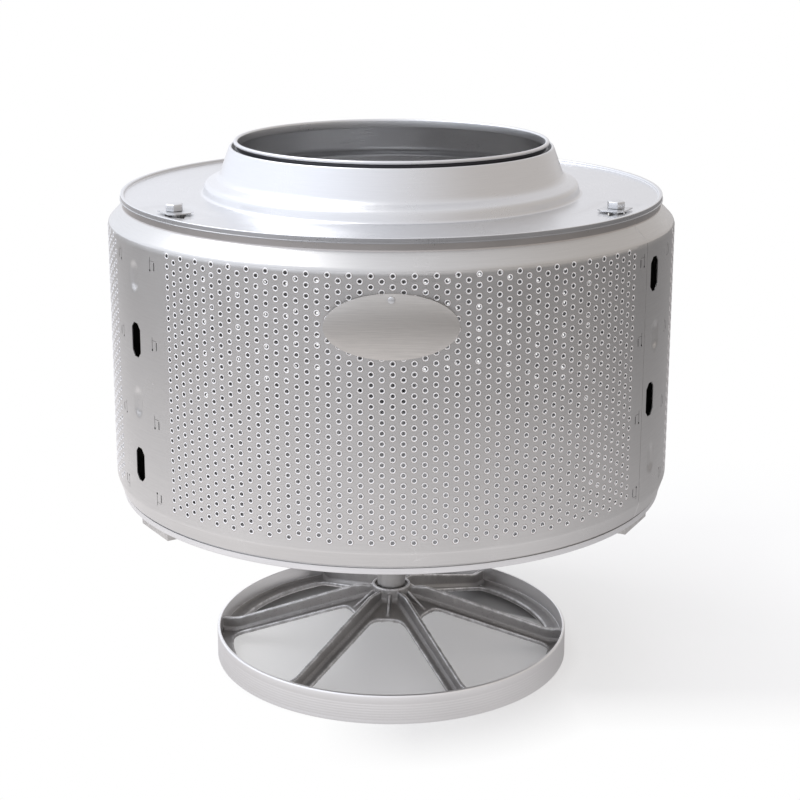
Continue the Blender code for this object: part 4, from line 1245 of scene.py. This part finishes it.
# The spider, the shaft and what is on it
shaft = {
    "radius": 12.5, "top": 180.0, "low": 57.2, "spline": 10.0, "end": 39.2,
    "thread": (5.3, 26.0),  # radius and depth of the bolt's hole
    "core": 2.0,  # radius of the narrow hole that runs on from it
}


def makeShaft():
    radius, spline, core, (thread, deep) = (shaft[key] for key in ("radius", "spline", "core", "thread"))
    top, low, end = shaft["top"], shaft["low"], shaft["end"]
    path = [
        (radius - 1.0, top), (radius, top - 1.0), (radius, low), (spline, low), (spline, end + 1.0),
        (spline - 1.0, end), (thread, end), (thread, end + deep), (core, end + deep + 3.0), (core, top),
    ]
    piece = turned("drumShaft", path, sides=64, closed=True)
    return dressed(piece, "shaft", "drum_shaft")


spider = cadCopy("spider", "spiderCasting", bevel=1.0)
dressed(spider, "arm", "spider")
makeShaft()
for pieceName, finish, slot, nodeName in (
    ("sealSleeve", "bronze", "sleeve_bronze", "seal_sleeve"),
    ("pulleyWasher", "bolt", "bolt_steel", "pulley_washer"),
    ("pulleyBolt", "bolt", "bolt_steel", "pulley_bolt"),
):
    dressed(cadCopy(nodeName, pieceName, bevel=0.3), finish, nodeName)
print("spider and shaft made")


# The lifters, tie bolts and lock plates
bolt = {
    "flats": 13.0,
    "height": 5.5,
    "head": 420.3,
    "radius": 4.0,
    "end": 158.0,
    "chamfer": (0.9, 0.6),  # inward and down
    "behind": 8.5,
    "edges": (0.25, 0.15),  # width of the broken edges of a bolt and of a lock plate
}
paddleShade = {"axis": 0.205, "shellSide": 0.15, "facing": 0.3}  # metres, metres and a cosine


def makeTieBolt(index, side):
    # Hex head with chamfered corners, shank down to the spider's arm
    across = bolt["flats"] / math.sqrt(3)
    head = rod("tieBoltHead", across, bolt["head"], bolt["head"] + bolt["height"], 6)
    startEdit(head, "FACE", "DESELECT")
    selectWhere(head, lambda normal: normal.z > 0.9, "FACE")
    bpy.ops.mesh.inset(thickness=bolt["chamfer"][0] * mm)
    endEdit()
    for vert in head.data.vertices:
        reach = math.hypot(vert.co.x, vert.co.y)
        if vert.co.z > (bolt["head"] + bolt["height"] - 0.1) * mm and reach > (across - 0.2) * mm:
            vert.co.z -= bolt["chamfer"][1] * mm
    shank = rod("tieBoltShank", bolt["radius"], bolt["end"], bolt["head"] + 1.0, 24)
    whole = joined("tieBolt" + side.capitalize(), [head, shank])
    bevelled(whole, bolt["edges"][0], 25)
    whole.data.transform(onDrum(lifterAzimuth(index), frontPlate["boltCircle"]))
    smoothed(whole, 35)
    return dressed(whole, "bolt", "tie_bolt_" + side)


def trimBehind(lock, index, front):
    # Cuts the blunt end of a lock plate off behind the bolt, and breaks the edges
    turn = math.radians(lifterAzimuth(index))
    along = Vector((math.cos(turn), math.sin(turn), 0)) * front
    start = Vector((math.sin(turn), -math.cos(turn), 0)) * frontPlate["boltCircle"] * mm
    start -= along * bolt["behind"] * mm
    startEdit(lock)
    bpy.ops.mesh.bisect(plane_co=start, plane_no=along, use_fill=True, clear_inner=True)
    faceOutward()
    endEdit()
    smoothed(bevelled(lock, bolt["edges"][1], 40), 35)


def paintShadeInside(paddle, azimuth):
    # The hollow side of a paddle, which faces the shell, gets a near black colour as painted shade
    paddle.data.materials.append(materials["hollow"])
    out = Vector((math.sin(math.radians(azimuth)), -math.cos(math.radians(azimuth)), 0))
    centre = out * paddleShade["axis"]
    for face in paddle.data.polygons:
        across = face.center - centre
        across.z = 0
        inward = face.normal.dot(across) < 0 and face.center.dot(out) > paddleShade["shellSide"]
        if face.normal.dot(out) > paddleShade["facing"] or inward:
            face.material_index = 1


for number, sideName in enumerate(drum["names"]):
    makeTieBolt(number, sideName)
    lock = cadCopy("lock_plate_" + sideName, "lockPlate" + sideName.capitalize())
    trimBehind(lock, number, frontPlate["points"][sideName])
    dressed(lock, "bolt", "lock_plate_" + sideName)
    paddle = cadCopy("lifter_" + sideName, "lifter" + sideName.capitalize(), bevel=0.25)
    dressed(paddle, "shell", "lifter_" + sideName)
    paintShadeInside(paddle, lifterAzimuth(number))
print("lifters and tie bolts made")


# The oval plate and its rivet
badge = {
    "width": 100.0,
    "height": 50.0,
    "thick": 1.5,
    "middle": 357.9,
    "gap": 0.3,
    "sides": 96,
    "edge": 0.2,
}


def makeBadge():
    angles = [math.tau * step / badge["sides"] for step in range(badge["sides"])]
    outline = [(badge["width"] / 2 * math.cos(a), badge["height"] / 2 * math.sin(a)) for a in angles]
    plate = outlined("badgePlate", outline, 0, badge["thick"], bevel=badge["edge"])
    stand = Matrix.Rotation(math.radians(90), 4, "X")
    plate.data.transform(onDrum(0, drum["radius"] + badge["gap"], badge["middle"]) @ stand)
    smoothed(plate, 35)
    dressed(plate, "badge", "badge_plate")
    rivet = cadCopy("badge_rivet", "badgeRivet", bevel=badge["edge"])
    dressed(rivet, "bolt", "badge_rivet")


makeBadge()
print("badge made")


# Floor, light and camera
studio = {
    "floorSize": 16.0,  # metres, as the rest of this dictionary
    "floorColour": 0.80,
    "floorTint": (1.0, 0.975, 0.985),
    "mostTone": 1.5,
    # Degrees from the front, positive to the right, and the tone that the metal mirrors there
    "nearTones": [
        (-180, 1.25), (-149, 1.25), (-118, 1.05), (-94, 1.08), (-56, 1.20), (-19, 1.14), (0, 1.10),
        (20, 1.00), (37, 1.00), (55, 0.90), (74, 0.72), (96, 0.60), (112, 0.50), (146, 0.50),
    ],
    "farTones": [
        (-180, 0.95), (-149, 0.80), (-136, 0.58), (-118, 0.42), (-56, 0.40), (-38, 0.36), (-19, 0.25),
        (0, 0.165), (20, 0.135), (37, 0.145), (55, 0.17), (74, 0.21), (112, 0.24), (146, 0.35),
    ],
    "nearReach": 0.55,
    "farReach": 1.9,
    "leftRoom": (1.30, 1.34, 1.44),
    "rightRoom": (0.66, 0.62, 0.59),
    # The two places between which each shade changes, and the two shades there, if they aren't 0 and 1
    "footShade": (-0.15, -0.02, 0.50, 0.88),
    "footEdge": (0.150, 0.157),
    "shadeLeft": (-0.15, -0.02, 0.20, 0.47),
    "shadeStart": (-0.175, -0.155),
    "shadeRight": (0.38, 0.62),
    "shadeFront": (-0.17, -0.09),
    "shadeBack": (0.30, 0.55),
    "clearEdge": (0.155, 0.162),
    "clearLeft": (-0.03, 0.06),
    "contact": (0.157, 0.235, 0.60, 0.0),
    "contactStart": (-0.06, 0.02),
    "underShade": (0.14, 0.44, 0.50, 1.0),
    "backShade": (0.0, 0.32, 0.98, 0.84),
    "darkCentre": (0.0, 0.060, 0.0),
    "darkReach": (0.146, 0.154),
    "darkFront": (0.118, 0.132),
    "darkSlant": 0.55,
    "darkDepth": 0.55,
    "room": (-0.75, 0.75),  # where the room's left and right begin
    "lamp": {"size": (1.3, 1.3), "place": (-1.05, 0.30, 2.15), "aim": (0, 0, 0.35), "power": 18},
}


def makeFloor():
    deselectAll()
    size = studio["floorSize"]
    bpy.ops.mesh.primitive_grid_add(x_subdivisions=8, y_subdivisions=8, size=size, location=(0, 0, 0))
    floor = named("studioFloor")
    material, build, shader = newMaterial("paleFloor", 0.0)
    place = build.place()
    away = build.add("ShaderNodeVectorMath", {"operation": "LENGTH"}, n0=place).outputs["Value"]
    side, back = build.split(place)[:2]

    # Shade that is left on the white floor: under the foot, and to the right of it
    shade = build.spread(side, *studio["shadeLeft"])
    shade = build.times(shade, build.spread(side, *studio["shadeStart"]))
    shade = build.times(shade, build.spread(side, *studio["shadeRight"], 1.0, 0.0))
    shade = build.times(shade, build.spread(back, *studio["shadeFront"]))
    shade = build.times(shade, build.spread(back, *studio["shadeBack"], 1.0, 0.0))
    underFoot = build.spread(side, *studio["footShade"])
    shade = build.most(shade, build.times(underFoot, build.spread(away, *studio["footEdge"], 1.0, 0.0)))
    clearLeft = build.spread(side, *studio["clearLeft"], 1.0, 0.0)
    clear = build.times(build.spread(away, *studio["clearEdge"]), clearLeft)
    shade = build.times(shade, build.minus(1.0, clear))
    contact = build.spread(away, *studio["contact"])
    contact = build.times(contact, build.spread(side, *studio["contactStart"]))
    shade = build.most(shade, contact)

    # The floor as the metal mirrors it: a tone for each direction, beside the drum and far from it
    turn = build.math("ARCTAN2", side, build.times(back, -1.0))
    turn = build.spread(turn, -math.pi, math.pi)
    fade = build.spread(away, studio["nearReach"], studio["farReach"])
    tones = []
    for key in ("nearTones", "farTones"):
        ramp = build.add("ShaderNodeValToRGB")
        build.put(ramp, "Fac", turn)
        for number, (angle, tone) in enumerate(studio[key]):
            spot = (angle + 180) / 360
            stop = ramp.color_ramp.elements[number] if number < 2 else ramp.color_ramp.elements.new(spot)
            stop.position = spot
            stop.color = (*[tone / studio["mostTone"] * share for share in studio["floorTint"]], 1.0)
        tones.append(ramp.outputs["Color"])
    mirrored = blendColours(build, fade, tones[0], tones[1])
    under = build.spread(away, *studio["underShade"])
    under = blendColours(build, under, (0.0, 0.0, 0.0), (1.0, 1.0, 1.0))
    mirrored = blendColours(build, 1.0, mirrored, under, "MULTIPLY")

    # Painted shadow on the floor behind the foot, seen between its spokes
    sideways = build.math("ABSOLUTE", side)
    slanted = build.plus(back, build.times(sideways, studio["darkSlant"]))
    behind = build.add("ShaderNodeVectorMath", {"operation": "DISTANCE"}, n0=place, n1=studio["darkCentre"])
    reached = build.spread(behind.outputs["Value"], *studio["darkReach"], 1.0, 0.0)
    shadowBehind = build.times(build.spread(slanted, *studio["darkFront"]), reached)
    shade = build.most(shade, shadowBehind)

    # The camera sees the white floor and its shade, other rays a plain one, and the metal the tones above
    seen = build.add("ShaderNodeLightPath").outputs
    looked = build.most(seen["Is Camera Ray"], seen["Is Transmission Ray"])
    # Painted shade: the floor darker towards the back, and darker still in the painted shadow behind the foot
    darker = build.spread(back, *studio["backShade"])
    base = build.times(darker, shade)
    base = build.times(base, build.minus(1.0, build.times(shadowBehind, studio["darkDepth"])))
    plain = studio["floorColour"]
    base = build.add("ShaderNodeMix", {"data_type": "FLOAT"}, n0=looked, n2=plain, n3=base).outputs[0]
    base = build.times(base, build.minus(1.0, seen["Is Glossy Ray"]))
    glow = blendColours(build, seen["Is Glossy Ray"], (1.0, 1.0, 1.0), mirrored)
    light = build.times(looked, build.minus(1.0, shade))
    build.put(shader, "Base Color", base)
    build.put(shader, "Emission Color", glow)
    mirror = build.times(seen["Is Glossy Ray"], studio["mostTone"])
    build.put(shader, "Emission Strength", build.most(light, mirror))
    shader.inputs["Roughness"].default_value = 0.9
    shader.inputs["Specular IOR Level"].default_value = 0.0
    floor.data.materials.append(material)


def makeWorld():
    world = bpy.data.worlds.new("studioWorld")
    bpy.context.scene.world = world
    world.use_nodes = True
    build = Nodes(world.node_tree)
    back = world.node_tree.nodes["Background"]
    sideways = build.split(build.add("ShaderNodeTexCoord").outputs["Generated"])["X"]
    across = build.spread(sideways, *studio["room"])
    room = blendColours(build, across, studio["leftRoom"], studio["rightRoom"])
    seen = build.add("ShaderNodeLightPath").outputs
    build.put(back, "Color", blendColours(build, seen["Is Camera Ray"], room, (1.0, 1.0, 1.0)))
    back.inputs["Strength"].default_value = 1.0


def addLamp(name, size, place, aim, power):
    light = bpy.data.lights.new(name, "AREA")
    light.shape = "RECTANGLE"
    light.size, light.size_y = size
    light.energy = power
    lamp = bpy.data.objects.new(name, light)
    bpy.context.scene.collection.objects.link(lamp)
    lamp.location = place
    lamp.rotation_euler = (Vector(aim) - Vector(place)).to_track_quat("-Z", "Y").to_euler()


# The lens and the angles, in radians, as a pinhole camera was fitted to the photograph; places in metres
view = {
    "lens": 77.503, "shift": -0.10,
    "pitch": 0.24012, "yaw": 0.00512, "roll": 0.00172,
    "back": 1.45504, "height": 0.66058,
}


def makeCamera():
    data = bpy.data.cameras.new("photoCamera")
    data.sensor_width = 36
    data.lens = view["lens"]
    data.shift_y = view["shift"]
    data.clip_end = 100
    camera = bpy.data.objects.new("photoCamera", data)
    bpy.context.scene.collection.objects.link(camera)
    camera.matrix_world = (
        Matrix.Translation((0, -view["back"], view["height"]))
        @ Matrix.Rotation(-view["yaw"], 4, "Z")
        @ Matrix.Rotation(math.pi / 2 - view["pitch"], 4, "X")
        @ Matrix.Rotation(view["roll"], 4, "Z")
    )
    bpy.context.scene.camera = camera


makeFloor()
makeWorld()
addLamp("overhead", **studio["lamp"])
makeCamera()
bpy.context.scene.view_settings.view_transform = "Standard"
print("studio set")
